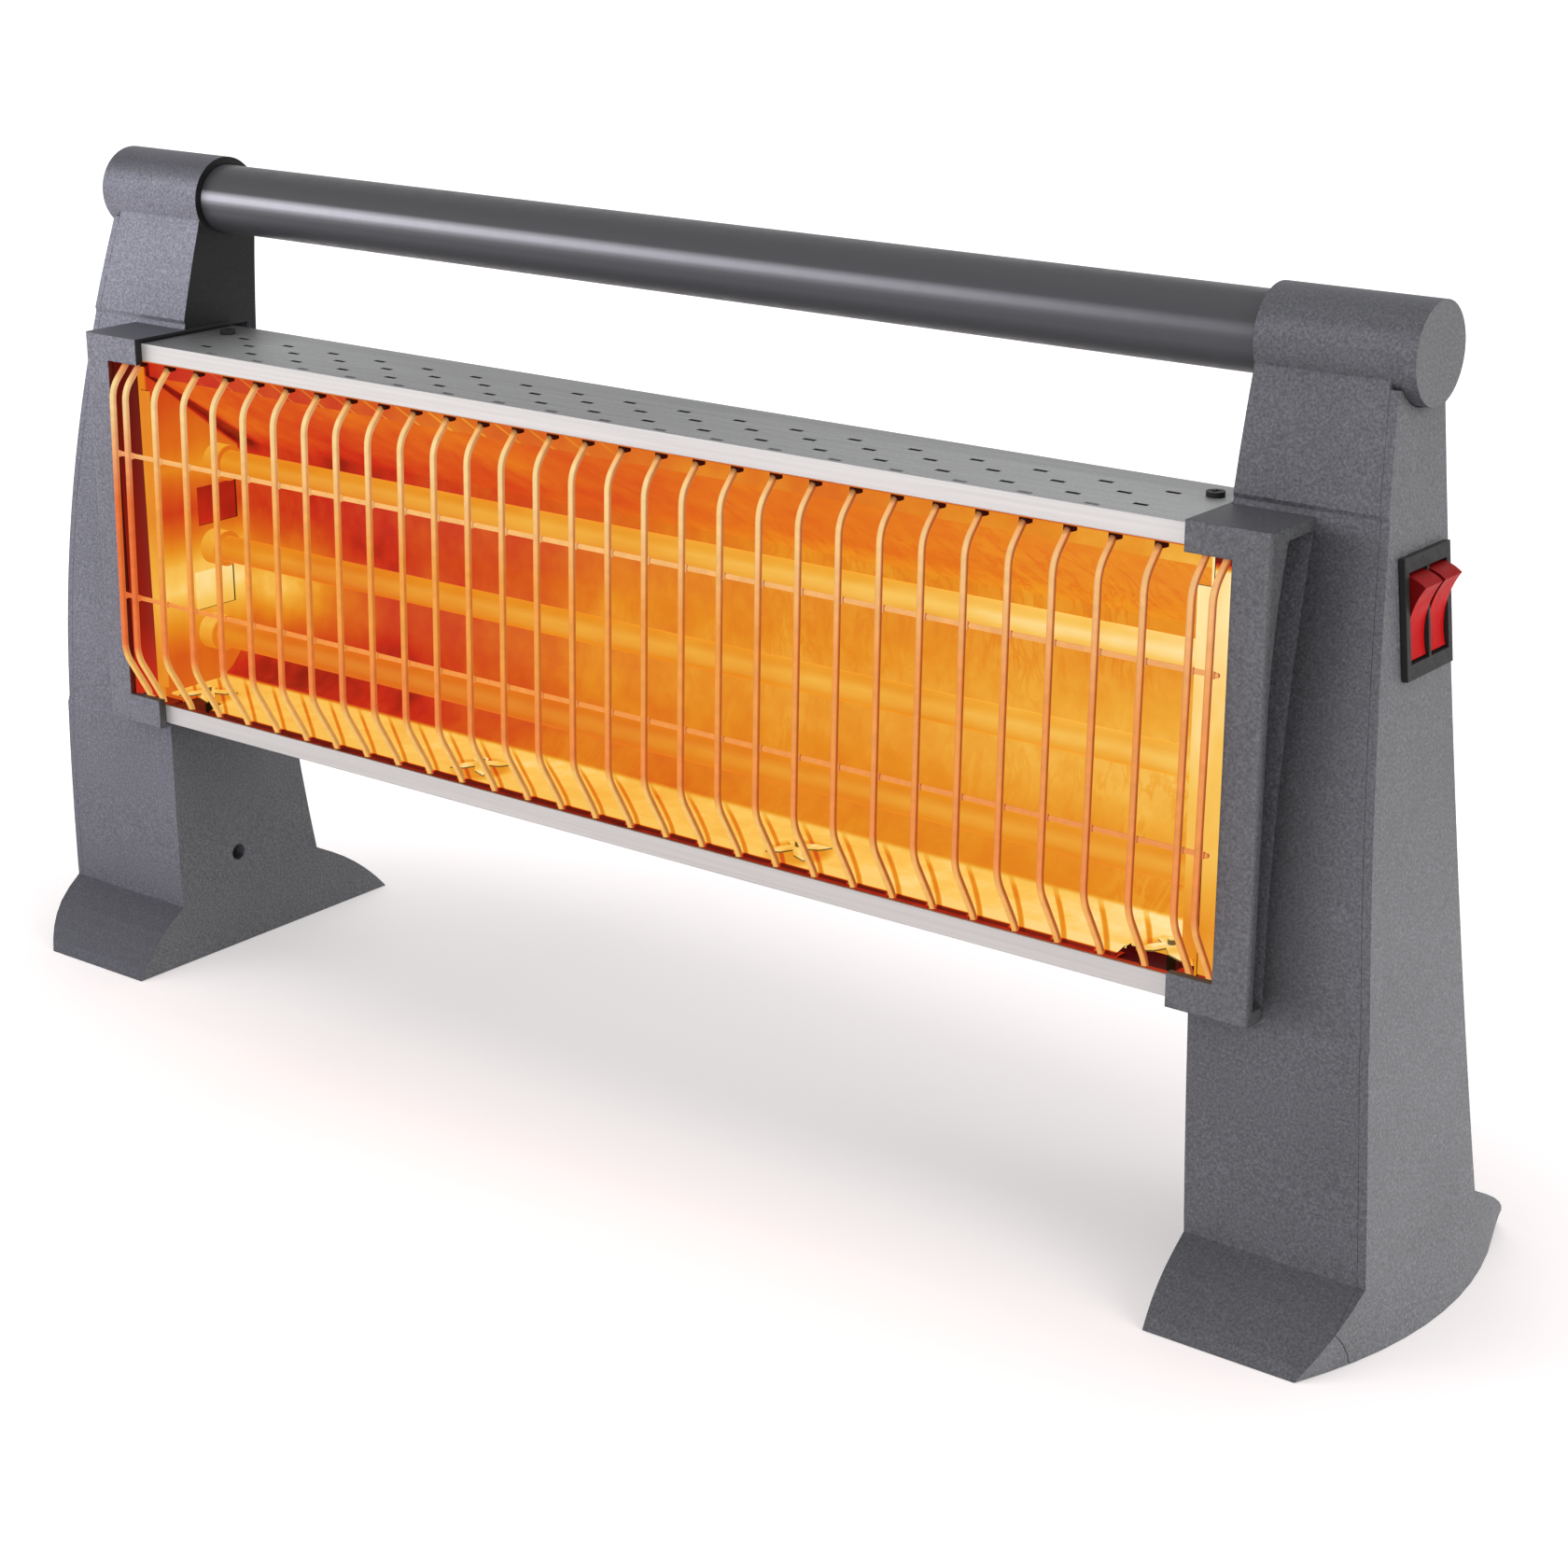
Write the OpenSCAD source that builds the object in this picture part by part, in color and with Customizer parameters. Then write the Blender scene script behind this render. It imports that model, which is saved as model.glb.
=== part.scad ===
// Free-standing electric bar heater: three quartz tubes in a reflector box with a wire guard,
// carried between two moulded stands that also hold a tubular handle. Millimetres.
// X runs along the heater, -Y is the side that glows, Z is up, and the floor is at zero.

/* [Stands] */
// Height of the handle's axis above the floor
handle_z = 297.4; // [292:0.2:304]
// Outward lean of a stand's inner face, in degrees
inner_lean = 0.94; // [0.8:0.02:1.1]
// Width of one stand at the handle
stand_top_w = 45.7; // [44:0.1:50]
// Width of one stand just above its foot
stand_foot_w = 62.6; // [61:0.1:66]
// Radius of the slight outward bow of a stand's outer face
side_bow_r = 3100; // [2600:50:6000]
// Thickness of a stand's moulded walls
stand_wall = 2.5; // [2:0.1:3]
// Gap along the seam between a stand's main shell and its outer cover
seam_gap = 0.1; // [0.05:0.05:0.2]

/* [Stand profile] */
// How far the front of a stand reaches ahead of the centre
belly_y = 45.5; // [45:0.1:47]
// Height at which a stand's front is furthest forward
belly_z = 110; // [104:1:120]
// Radius of the front face above that height
front_upper_r = 616; // [600:2:640]
// Radius of the front face below that height
front_lower_r = 2500; // [2000:50:4000]
// How far the waist of the rear face lies behind the centre
waist_y = 7.5; // [7.2:0.1:9]
// Height of the waist of the rear face
waist_z = 230; // [215:1:245]
// Radius of the hollow rear face
rear_r = 970; // [940:5:1100]
// Depth of the shallow step in the front face beside the guard
face_step = 0.8; // [0.4:0.1:1.2]

/* [Feet] */
// Depth of a foot over its two toes
foot_d = 135; // [130:0.5:145]
// Height at which the foot meets the front face
toe_h = 23.5; // [21:0.5:26]
// Height at which the foot meets the rear face
heel_h = 28; // [26:0.5:32]
// Radius of the front toe's back
toe_r = 53; // [48:1:70]
// Radius of the rear toe's back
heel_r = 110; // [90:2:150]
// Radius in plan of the foot's bowed outer edge
foot_bow_r = 151; // [145:1:200]
// How far the foot's outer edge bulges beyond the outer face
foot_flare = 5.5; // [3:0.5:8]

/* [Handle] */
// Outside diameter of the handle tube
handle_d = 25; // [22:0.5:26]
// Wall of the handle tube
handle_wall = 1.2; // [1:0.1:2]
// Diameter of the boss that takes the tube's end
boss_d = 30.8; // [29.5:0.1:32]
// How far the handle's axis lies ahead of the centre
handle_y = 4.5; // [4:0.1:5]
// How far a boss stands proud of the outer face
boss_proud = 6; // [4:0.5:8]
// How deep the tube's end goes into its boss
tube_seat = 33.8; // [30:0.2:36]

/* [Housing] */
// Length of the housing
housing_l = 472; // [400:1:700]
// How far each end of the housing reaches into a stand, from the stand's inner edge at the handle
housing_seat = 12.8; // [12:0.1:14]
// Height of the housing
housing_h = 146.5; // [144:0.5:147]
// Height of the housing's underside above the floor
housing_z = 103; // [102:0.5:105]
// How far the housing's front reaches ahead of the centre
housing_front = 50.2; // [49.8:0.1:50.6]
// Depth of the housing
housing_d = 54.7; // [54:0.1:55]
// Sheet thickness of the housing
sheet = 1; // [0.8:0.1:1.2]
// Outside radius of the housing's rear bends
bend_r = 10; // [8:0.5:14]
// Height of the bright lip over the opening
upper_lip = 6.5; // [6:0.25:8]
// Height of the bright lip under the opening
lower_lip = 7; // [6:0.25:8]
// Pitch of the vent slots along the housing
vent_pitch = 23.5; // [22:0.5:30]
// Length of a vent slot
vent_l = 5; // [3:0.5:8]
// Width of a vent slot
vent_w = 2; // [1.5:0.1:3]

/* [Guard] */
// Number of evenly spaced upright wires
wire_count = 30; // [20:1:32]
// Distance of an extra end wire from the housing's end
end_wire_inset = 1.5; // [1:0.25:3]
// Distance from there to the first evenly spaced wire
end_wire_step = 7; // [6:0.25:7.5]
// Diameter of the upright wires
wire_d = 2.4; // [2:0.1:2.8]
// Diameter of the two long wires
long_wire_d = 2; // [1.6:0.1:2.4]
// How far the uprights stand ahead of the housing at their upper bend
guard_top_proud = 5.6; // [5:0.1:7]
// How far they stand ahead of it at their lower bend
guard_bottom_proud = 8.3; // [7.5:0.1:9.5]

/* [Bezels] */
// How far a bezel reaches past the housing above and below
bezel_over = 1.75; // [1:0.25:2.5]
// How far a bezel's outer side lies from the stand's inner edge at the handle
bezel_reach = 27.8; // [27:0.1:29]
// Width of a bezel's upright
bezel_w = 12.3; // [11:0.1:13]
// Thickness of a bezel's front
bezel_t = 3; // [2.5:0.1:3.3]
// Width of a bezel's arms over the lips, inwards from the stand's inner face
bezel_arm = 1; // [0.5:0.25:4]
// Height of a bezel's upper arm
bezel_upper = 9.5; // [8.5:0.25:10]
// Height of a bezel's lower arm
bezel_lower = 11; // [10:0.25:12]
// Thickness of the shelf along a bezel's top
shelf_t = 4; // [3:0.25:5]

/* [Heating tubes] */
// Outside diameter of a quartz tube
tube_d = 10; // [9:0.25:11]
// Wall of a quartz tube
tube_wall = 1; // [0.8:0.1:1.4]
// Height of the middle tube above the housing's underside
tube_rise = 62; // [59:0.5:65]
// Pitch of the tubes
tube_pitch = 33; // [31:0.5:34]
// How far the middle tube's axis lies behind the housing's front
tube_setback = 34.2; // [32:0.2:36]
// Backward lean of the row of tubes, in degrees
tube_lean = 6; // [3:0.5:7]
// Room between a reflector end wall and the housing's end
end_room = 7; // [6:0.25:8]
// Diameter of a ceramic holder's collar
collar_d = 13.6; // [13.2:0.1:14.4]
// How far a collar stands in from the end wall
collar_l = 8; // [7:0.25:10]
// Thickness of the reflector and its end walls
reflector_t = 0.8; // [0.6:0.1:1]

/* [Switch] */
// Height of the switch's middle above the floor
switch_z = 224; // [222:0.5:228]
// How far the switch's middle lies ahead of the centre
switch_y = 9.75; // [9.5:0.05:11]
// Width of the switch's frame
switch_w = 28.5; // [28:0.25:31.5]
// Height of the switch's frame
switch_h = 36; // [34:0.25:38]
// Depth of the switch's body behind the frame
switch_depth = 15; // [13:0.5:17]
// Width of one rocker
rocker_w = 10.6; // [10:0.1:11.5]
// Length of a rocker over its two ends
rocker_l = 26; // [25:0.25:28]
// Angle of a rocker either side of level, in degrees
rocker_tilt = 15; // [11:0.5:16]

/* [Hidden] */

$fn = 48;
fine = 1440;            // facets of the very large radii
run = 0.3;              // clearance between pieces that only lie against each other
fit = 0.05;             // radial clearance of a pivot in its bore
big = 400;              // a length past every face
screw_r = 1.5;          // shank radius of the small screws
head_r = 2.9;           // head radius of the small screws
head_h = 2;             // head height of the small screws

// Basic shapes and helpers
// Lays a (Y, Z) outline along X from x0 to x1
module along_x(x0, x1) translate([x0, 0, 0]) rotate([90, 0, 90]) linear_extrude(x1 - x0) children();
// Lays an (X, Z) outline along Y from y0 to y1
module along_y(y0, y1) translate([0, y1, 0]) rotate([90, 0, 0]) linear_extrude(y1 - y0) children();
// Cylinders along X and along Y
module rod_x(r, x0, x1, y, z) translate([x0, y, z]) rotate([0, 90, 0]) cylinder(r = r, h = x1 - x0);
module rod_y(r, x, y0, y1, z) translate([x, y0, z]) rotate([-90, 0, 0]) cylinder(r = r, h = y1 - y0);
// A box between two corners
module block(low, high) translate(low) cube(high - low);
// Solid through rings of points, each anticlockwise as seen from the last ring's side
module loft(rings) {
    n = len(rings[0]);
    last = len(rings) - 1;
    polyhedron([for (ring = rings) each ring], concat(
        [[for (k = [0:n - 1]) k], [for (k = [n - 1:-1:0]) last * n + k]],
        [for (i = [0:last - 1], k = [0:n - 1]) let (a = i * n + k, b = i * n + (k + 1) % n)
            each [[a, a + n, b], [b, a + n, b + n]]]));
}
// Draws a right-hand piece, or its mirror image on the left
module hand(s) mirror([s < 0 ? 1 : 0, 0, 0]) children();

// Centre of the circle of radius r through p and q, to the right on the way from p to q
function arc_centre(p, q, r) = let (d = q - p)
    (p + q) / 2 + [d[1], -d[0]] / norm(d) * sqrt(r * r - d * d / 4);
// Unit vector to the left on the way from p to q
function left_of(p, q) = let (d = (q - p) / norm(q - p)) [-d[1], d[0]];
// n + 1 points from p to q, bowed to the left by s
function bow(p, q, s, n) = [for (k = [0:n]) let (u = k / n)
    p + (q - p) * u + left_of(p, q) * 4 * s * u * (1 - u)];
// Point i of a path, moved to the path's left by t
function moved(path, i, t) = let (last = len(path) - 1,
    a = left_of(path[max(i - 1, 0)], path[max(i, 1)]),
    b = left_of(path[min(i, last - 1)], path[min(i + 1, last)]))
    path[i] + (a + b) * t / (1 + a * b);
// Outline of a bent strip of thickness t on the left of a path
function strip(path, t) = concat(path, [for (i = [len(path) - 1:-1:0]) moved(path, i, t)]);

// Stands: places shared by both shells and what meets them
housing_x = housing_l / 2;
inner_top_x = housing_x - housing_seat;
bezel_x = inner_top_x + bezel_reach;  // outer side of the bezels, and where the screw posts meet
tube_x = inner_top_x + tube_seat;     // end of the handle tube
outer_top_x = inner_top_x + stand_top_w;
flare_z = 24;           // height at which the foot has blended into the outer face
blend = 0.03;           // how far the foot's top is drawn in, to end inside the column
function inner_x(z) = inner_top_x + (handle_z - z) * tan(inner_lean);
outer_foot_x = inner_x(flare_z) + stand_foot_w;
side_centre = arc_centre([outer_top_x, handle_z], [outer_foot_x, flare_z], side_bow_r);
function outer_x(z) = side_centre[0] + sqrt(pow(side_bow_r, 2) - pow(z - side_centre[1], 2));
upper_centre = [front_upper_r - belly_y, belly_z];
lower_centre = [front_lower_r - belly_y, belly_z];
rear_centre = [waist_y + rear_r, waist_z];
function front_y(z) = lower_centre[0] - sqrt(pow(front_lower_r, 2) - pow(z - belly_z, 2));
function rear_y(z) = rear_centre[0] - sqrt(pow(rear_r, 2) - pow(z - waist_z, 2));
toe_centre = arc_centre([-foot_d / 2, 0], [front_y(toe_h), toe_h], toe_r);
heel_centre = arc_centre([rear_y(heel_h), heel_h], [foot_d / 2, 0], heel_r);
boss_r = boss_d / 2;
boss_end_x = outer_top_x + boss_proud;
cavity_top = handle_z - boss_r - stand_wall;

// Housing and bezel places
front = -housing_front;
rear = front + housing_d;
top = housing_z + housing_h;
opening_top = top - upper_lip;
opening_bottom = housing_z + lower_lip;
bezel_z = housing_z - bezel_over;
bezel_h = housing_h + 2 * bezel_over;
bezel_top = bezel_z + bezel_h;
bezel_in = inner_x(top) - bezel_arm;
bezel_front = front - run - bezel_t;
crease_z = bezel_z - 3;  // lower edge of the step in the stands' front faces

// Heating tubes: -1 is the lower tube, 1 the upper one
tube_mid_y = housing_front - tube_setback;
tube_mid_z = housing_z + tube_rise;
function tube_y(i) = -tube_mid_y + i * tube_pitch * tan(tube_lean);
function tube_z(i) = tube_mid_z + i * tube_pitch;
wall_x = housing_x - end_room;        // inner face of a reflector end wall
collar_x = wall_x - run;              // outer face of a ceramic collar
neck_r = tube_d / 2 + 0.4;            // ceramic neck through the end walls
neck_end = housing_x + 6;
coil_pin_r = 1;
tube_end = collar_x - 1.5;
pin_end = neck_end + 5;
blade_end = pin_end + 6;
socket_gap = 0.1;                     // radial clearance of ceramic and wire fits

// Switch
switch_x = outer_x(switch_z);
switch_tilt = asin((switch_z - side_centre[1]) / side_bow_r);
switch_body_w = 2 * rocker_w + 5;
switch_body_h = rocker_l + 4;
well_w = rocker_w + 2 * run;
well_mid = well_w / 2 + 0.6;
pivot_u = -2;                         // depth of the rockers' pivots behind the face
pivot_r = 1.2;

// ---- Stands ----
// The front face's side of everything, w behind the face
module behind_front(w) {
    intersection() {
        translate(upper_centre) circle(front_upper_r - w, $fn = fine);
        translate([-big / 2, belly_z]) square([big, big]);
    }
    intersection() {
        translate(lower_centre) circle(front_lower_r - w, $fn = fine);
        translate([-big / 2, -1]) square([big, belly_z + 1]);
    }
}

// A stand without its foot, drawn in by w on every side
module column(w) {
    intersection() {
        along_x(inner_top_x - 5, boss_end_x + 30) difference() {
            intersection() {
                behind_front(w);
                translate([-foot_d / 2, heel_h]) square([foot_d, handle_z - heel_h]);
            }
            translate(rear_centre) circle(rear_r + w, $fn = fine);
        }
        along_y(-foot_d, foot_d) intersection() {
            translate(side_centre) circle(side_bow_r - w, $fn = fine);
            polygon([[inner_x(0) + w, 0], [big, 0], [big, handle_z], [inner_x(handle_z) + w, handle_z]]);
        }
    }
}

// Plan of the foot at height z, drawn in by w
function foot_front(z, w) = z < toe_h ? toe_centre[0] - sqrt(pow(toe_r - w, 2) - pow(z - toe_centre[1], 2))
    : front_y(z) + w;
function foot_rear(z, w) = z < heel_h ? heel_centre[0] + sqrt(pow(heel_r - w, 2) - pow(z - heel_centre[1], 2))
    : rear_y(z) - w;
// with t the share of the flare left at that height
function foot_edge(y, z, w, t) = (z < flare_z ? outer_foot_x : outer_x(z)) - w
    + t * (foot_flare - y * y / (2 * foot_bow_r));
function foot_plan(z, w, t) = let (n = 12, y0 = foot_front(z, w), y1 = foot_rear(z, w))
    concat([[inner_x(z) + w, y1, z], [inner_x(z) + w, y0, z]],
        [for (k = [0:n]) let (y = y0 + (y1 - y0) * k / n) [foot_edge(y, z, w, t), y, z]]);

// The foot, drawn in by w, from the height z0 up into the column
module foot(w, z0) {
    loft(concat([for (k = [0:6]) let (z = z0 + (flare_z - z0) * k / 6) foot_plan(z, w + blend, 1 - z / flare_z)],
        [foot_plan(heel_h + 0.2, w + blend, 0), foot_plan(heel_h + 2, w + 1.5, 0.1)]));
}

// Room inside a stand
module stand_room() {
    intersection() {
        column(stand_wall);
        block([0, -big, 0], [big, big, cavity_top]);
    }
    foot(stand_wall, stand_wall);
}

screw_y = -14;          // the screw that joins the two shells above the foot
screw_z = heel_h + 10.7;
post_y = front + 21.2;  // the posts that the housing's end is screwed to
post_z = [housing_z + 47, top - 34.5];
recess_x = bezel_x - 4; // floor of the recess for the joining screw's head
gland_x = inner_top_x + 44.8;
gland_z = heel_h + 14;
gland_y = rear_y(gland_z - 7) + run;
gland_r = 4.5;
cover_top = handle_z - 9; // upper end of the outer cover, beside the boss
cover_rim = 0.3;        // how much thicker the cover is where it meets the main shell

// Shallow step in the front face beside the guard, with sloping ends
module face_recess() {
    slope = 3;
    recess_top = bezel_top + 4 * face_step;
    y0 = front_y(crease_z);
    y1 = upper_centre[0] - sqrt(pow(front_upper_r, 2) - pow(recess_top - belly_z, 2));
    along_x(0, big) difference() {
        polygon([[y0 - 10, crease_z - 10 * slope], [y0 + 5, crease_z + 5 * slope],
            [y1 + 5, recess_top - 5 * slope], [y1 - 10, recess_top + 10 * slope]]);
        behind_front(face_step);
    }
}

// The right-hand stand without its boss, before its shells are parted
module stand() {
    difference() {
        union() {
            column(0);
            foot(0, 0);
        }
        stand_room();
        face_recess();
    }
}

// All that lies further in than the outer face drawn in by w
module inside_cover(w) along_y(-foot_d, foot_d) translate(side_centre) circle(side_bow_r - w, $fn = fine);

// Main moulding of a stand: its front, inner side, back and boss
module inner_shell(s) {
    color([0.36, 0.36, 0.38]) hand(s) difference() {
        union() {
            intersection() {
                stand();
                inside_cover(stand_wall + cover_rim + seam_gap);
            }
            rod_x(boss_r, inner_top_x, boss_end_x, -handle_y, handle_z);
            rod_x(5.4, inner_x(screw_z) + 1, bezel_x - seam_gap / 2, screw_y, screw_z);
            if (s > 0) rod_y(7, gland_x, gland_y - 12, gland_y - run, gland_z);
        }
        // seat of the handle tube
        rod_x(handle_d / 2 + socket_gap, 0, tube_x + run, -handle_y, handle_z);
        // opening for the housing
        block([0, -big, housing_z - run], [housing_x + 2 * run, rear + run, top + run]);
        rod_x(head_r + 0.3, 0, recess_x, screw_y, screw_z);
        rod_x(screw_r + 0.3, 0, bezel_x + 1, screw_y, screw_z);
        if (s > 0) {
            rod_y(gland_r + socket_gap, gland_x, 0, big, gland_z);
            switch_hole();
        }
    }
}

// Cover over a stand's outer side, with the posts that it is screwed to
module outer_shell(s) {
    color([0.4, 0.4, 0.42]) hand(s) difference() {
        union() {
            difference() {
                stand();
                inside_cover(stand_wall + cover_rim);
                block([0, -big, cover_top], [big, big, big]);
                rod_x(boss_r + run, 0, big, -handle_y, handle_z);
            }
            rod_x(4.5, bezel_x + seam_gap / 2, outer_x(screw_z) - 1, screw_y, screw_z);
            for (z = post_z) rod_x(4, housing_x + run, outer_x(z) - 1, post_y, z);
        }
        rod_x(screw_r + fit, 0, bezel_x + 12, screw_y, screw_z);
        for (z = post_z) rod_x(screw_r + fit, 0, housing_x + 12, post_y, z);
        if (s > 0) switch_hole();
    }
}

module switch_hole() on_outer_face() block([-switch_depth - 1, -switch_body_w / 2 - run, -switch_body_h / 2 - run],
    [9, switch_body_w / 2 + run, switch_body_h / 2 + run]);

module stand_screws() {
    color([0.12, 0.12, 0.13]) for (s = [-1, 1]) hand(s) screw_x(recess_x - fit, 9, screw_y, screw_z);
}

// A screw along X: its head ends at x and its shank runs on for l
module screw_x(x, l, y, z) {
    difference() {
        union() {
            rod_x(head_r, x - head_h, x, y, z);
            rod_x(screw_r, x - fit, x + l, y, z);
        }
        translate([x - head_h, y, z]) cube([2, 3.4, 0.9], center = true);
        translate([x - head_h, y, z]) cube([2, 0.9, 3.4], center = true);
    }
}

// ---- Handle ----
module handle_tube() {
    color([0.33, 0.33, 0.35]) difference() {
        rod_x(handle_d / 2, -tube_x, tube_x, -handle_y, handle_z);
        rod_x(handle_d / 2 - handle_wall, -tube_x - 1, tube_x + 1, -handle_y, handle_z);
    }
}

// ---- Bezels ----
gusset_h = 56;          // height of the deeper part of a bezel's side
gusset_d = 10;          // its depth at the top
module bezel(s) {
    edge = bezel_front + gusset_d;
    gusset_z = bezel_top - shelf_t - gusset_h;
    color([0.38, 0.38, 0.4]) hand(s) difference() {
        union() {
            along_y(bezel_front, front - run) difference() {
                translate([bezel_in, bezel_z]) square([bezel_x - bezel_in, bezel_h]);
                translate([0, bezel_z + bezel_lower])
                    square([bezel_x - bezel_w, bezel_h - bezel_lower - bezel_upper]);
            }
            for (z = [bezel_z, bezel_top - shelf_t])
                block([bezel_in, bezel_front, z], [bezel_x, rear - bend_r, z + shelf_t]);
            along_x(bezel_x - stand_wall, bezel_x) polygon(concat(
                [[bezel_front, gusset_z], [bezel_front, bezel_top], [edge, bezel_top]],
                bow([edge, bezel_top - shelf_t], [front - run, gusset_z], -2, 6)));
        }
        along_x(-1, housing_x + run) housing_outline(run);
        // clear of the stand's front and inner faces
        intersection() {
            along_x(0, big) behind_front(face_step - run);
            along_y(-foot_d, foot_d) polygon([[inner_x(0) - run, 0], [big, 0], [big, big],
                [inner_x(big) - run, big]]);
        }
        // rounded front edge along the outer side
        along_z_edge(bezel_x, bezel_front, 1.5);
    }
}

// Takes a rounded edge of radius r off an upright corner at x, y
module along_z_edge(x, y, r) {
    translate([0, 0, bezel_z - 1]) linear_extrude(bezel_h + 2) difference() {
        translate([x - r, y - r]) square(2 * r);
        translate([x - r, y + r]) circle(r);
    }
}

// ---- Housing ----
// Outline of the housing, grown by g
module housing_outline(g) {
    translate([front - g, housing_z - g]) square([housing_d - bend_r + g, housing_h + 2 * g]);
    translate([front, housing_z + bend_r]) square([housing_d + g, housing_h - 2 * bend_r]);
    for (z = [housing_z + bend_r, top - bend_r]) translate([rear - bend_r, z]) circle(bend_r + g);
}

tab_screw_x = wall_x - 17; // the screws through the housing's top into the reflector's ends
tab_screw_y = front + 32.7;
clip_x = [for (k = [-1.5:1.5]) k * (2 * wall_x - 29) / 3];
clip_y = front + 14.2;
vent_rows = [for (d = [2.7, 10.7, 20.7, 29.2]) front + d];
vent_columns = floor((housing_l - 40) / vent_pitch / 2);

module housing_shell() {
    color([0.62, 0.62, 0.63]) difference() {
        along_x(-housing_x, housing_x) difference() {
            housing_outline(0);
            housing_outline(-sheet);
            translate([front - 1, opening_bottom])
                square([sheet + 1 + run, opening_top - opening_bottom]);
        }
        for (k = [-vent_columns:vent_columns], r = [0:3]) let (y = vent_rows[r], shift = r % 2 * vent_pitch / 2)
            if (abs(k * vent_pitch + shift) < tab_screw_x - 6)
                translate([k * vent_pitch + shift, y, top]) cube([vent_l, vent_w, 3 * sheet], center = true);
        for (s = [-1, 1]) translate([s * tab_screw_x, tab_screw_y, top - 2 * sheet])
            cylinder(r = screw_r + 0.3, h = 3 * sheet);
    }
}

// Places of a tube's end fittings, seen from the right-hand end
module each_tube() for (i = [-1:1]) translate([0, tube_y(i), tube_z(i)]) children();

module housing_end(s) {
    color([0.6, 0.6, 0.61]) hand(s) difference() {
        along_x(housing_x - sheet, housing_x) housing_outline(-sheet - 0.15);
        block([0, -big, 0], [big, hook_y + wire_r + run, big]);
        each_tube() rod_x(neck_r + 0.3, 0, big, 0, 0);
        for (z = post_z) rod_x(screw_r + 0.3, 0, big, post_y, z);
    }
}

module housing_end_screws() {
    color([0.7, 0.7, 0.72]) for (s = [-1, 1], z = post_z) hand(s) screw_x(housing_x - sheet - fit, 9, post_y, z);
}

module top_screws() {
    color([0.1, 0.1, 0.1]) for (s = [-1, 1]) translate([s * tab_screw_x, tab_screw_y, top + fit]) difference() {
        union() {
            cylinder(r = head_r, h = head_h - 0.4);
            translate([0, 0, -7]) cylinder(r = screw_r, h = 7 + fit);
        }
        translate([0, 0, head_h]) cube([3.4, 0.9, 2], center = true);
        translate([0, 0, head_h]) cube([0.9, 3.4, 2], center = true);
    }
}

// ---- Guard ----
wire_r = wire_d / 2;
rail_y = front + sheet + run;         // front edge of the two perforated rails
hook_y = front + 3.4;                 // where the wires pass through the rails
end_wire_x = housing_x - end_wire_inset;
first_wire_x = end_wire_x - end_wire_step;
wire_x = concat([-end_wire_x], [for (k = [0:wire_count - 1]) first_wire_x * (2 * k / (wire_count - 1) - 1)],
    [end_wire_x]);
// Path of an upright wire's centre, from its lower hook to its upper one
wire_path = [[hook_y, opening_bottom - 1.6], [hook_y - 0.6, opening_bottom + 1.6],
    [front - guard_bottom_proud + 0.5, opening_bottom + 19], [front - guard_bottom_proud, opening_bottom + 22],
    [front - guard_top_proud, opening_top - 11.5], [front - guard_top_proud + 1, opening_top - 9],
    [hook_y - 0.6, opening_top - 1.6], [hook_y, opening_top + 1.6]];

// A round bar of n sides along a (Y, Z) path, at x
module wire(path, x, r, n) {
    loft([for (i = [0:len(path) - 1]) [for (k = [0:n - 1]) let (p = moved(path, i, -r * sin(360 * k / n)))
        [x + r * cos(360 * k / n), p[0], p[1]]]]);
}

long_wire_z = [opening_bottom + 43, opening_top - 35.5];
function wire_y(z) = let (a = wire_path[3], b = wire_path[4]) a[0] + (b[0] - a[0]) * (z - a[1]) / (b[1] - a[1]);

module guard_grille() {
    long_x = end_wire_x + 2;
    color([0.8, 0.8, 0.82]) {
        for (x = wire_x) wire(wire_path, x, wire_r, 8);
        for (z = long_wire_z) translate([-long_x, wire_y(z) + wire_r + long_wire_d / 2 - 0.3, z])
            rotate([0, 90, 0]) linear_extrude(2 * long_x) circle(long_wire_d / 2, $fn = 8);
    }
}

notch_w = 20;           // notches under the reflector's ends, in the lower rail and the floor
module notches(y0, y1, z) for (s = [-1, 1])
    block([s * tab_screw_x - notch_w / 2, y0, z - 3], [s * tab_screw_x + notch_w / 2, y1, z + 3]);

// A perforated rail behind a lip, with its underside at z
module guard_rail(z) {
    color([0.75, 0.75, 0.77]) difference() {
        block([-housing_x + sheet + run, rail_y, z], [housing_x - sheet - run, rail_y + 6.4, z + reflector_t]);
        for (x = wire_x) translate([x, hook_y, z - 1]) cylinder(r = wire_r + 0.6, h = 3, $fn = 24);
        if (z < opening_bottom) notches(hook_y - 0.6, 0, z);
    }
}

// ---- Reflector ----
back_y = rear - 6;      // back of the reflector where it turns into its roof and floor
floor_z = opening_bottom + 2;
// Inside of the reflector from its upper front edge to its lower one
reflector_path = let (roof = [back_y, tube_z(1) + 6], heel = [back_y, floor_z + 20],
    floor_back = [back_y - 13.9, floor_z])
    concat([[rail_y + 7, opening_top - 7.5]], bow(roof, heel, 2.5, 6),
        [for (k = [1:4]) bow(heel, floor_back, 3.4, 4)[k]], [[rail_y + 7, floor_z]]);

module reflector() {
    color([0.85, 0.85, 0.86]) difference() {
        along_x(-wall_x + run, wall_x - run) polygon(strip(reflector_path, reflector_t));
        for (x = clip_x) translate([x, clip_y, opening_bottom]) cylinder(r = screw_r + 0.3, h = 4);
        notches(rail_y, rail_y + 10, floor_z);
    }
}

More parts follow.
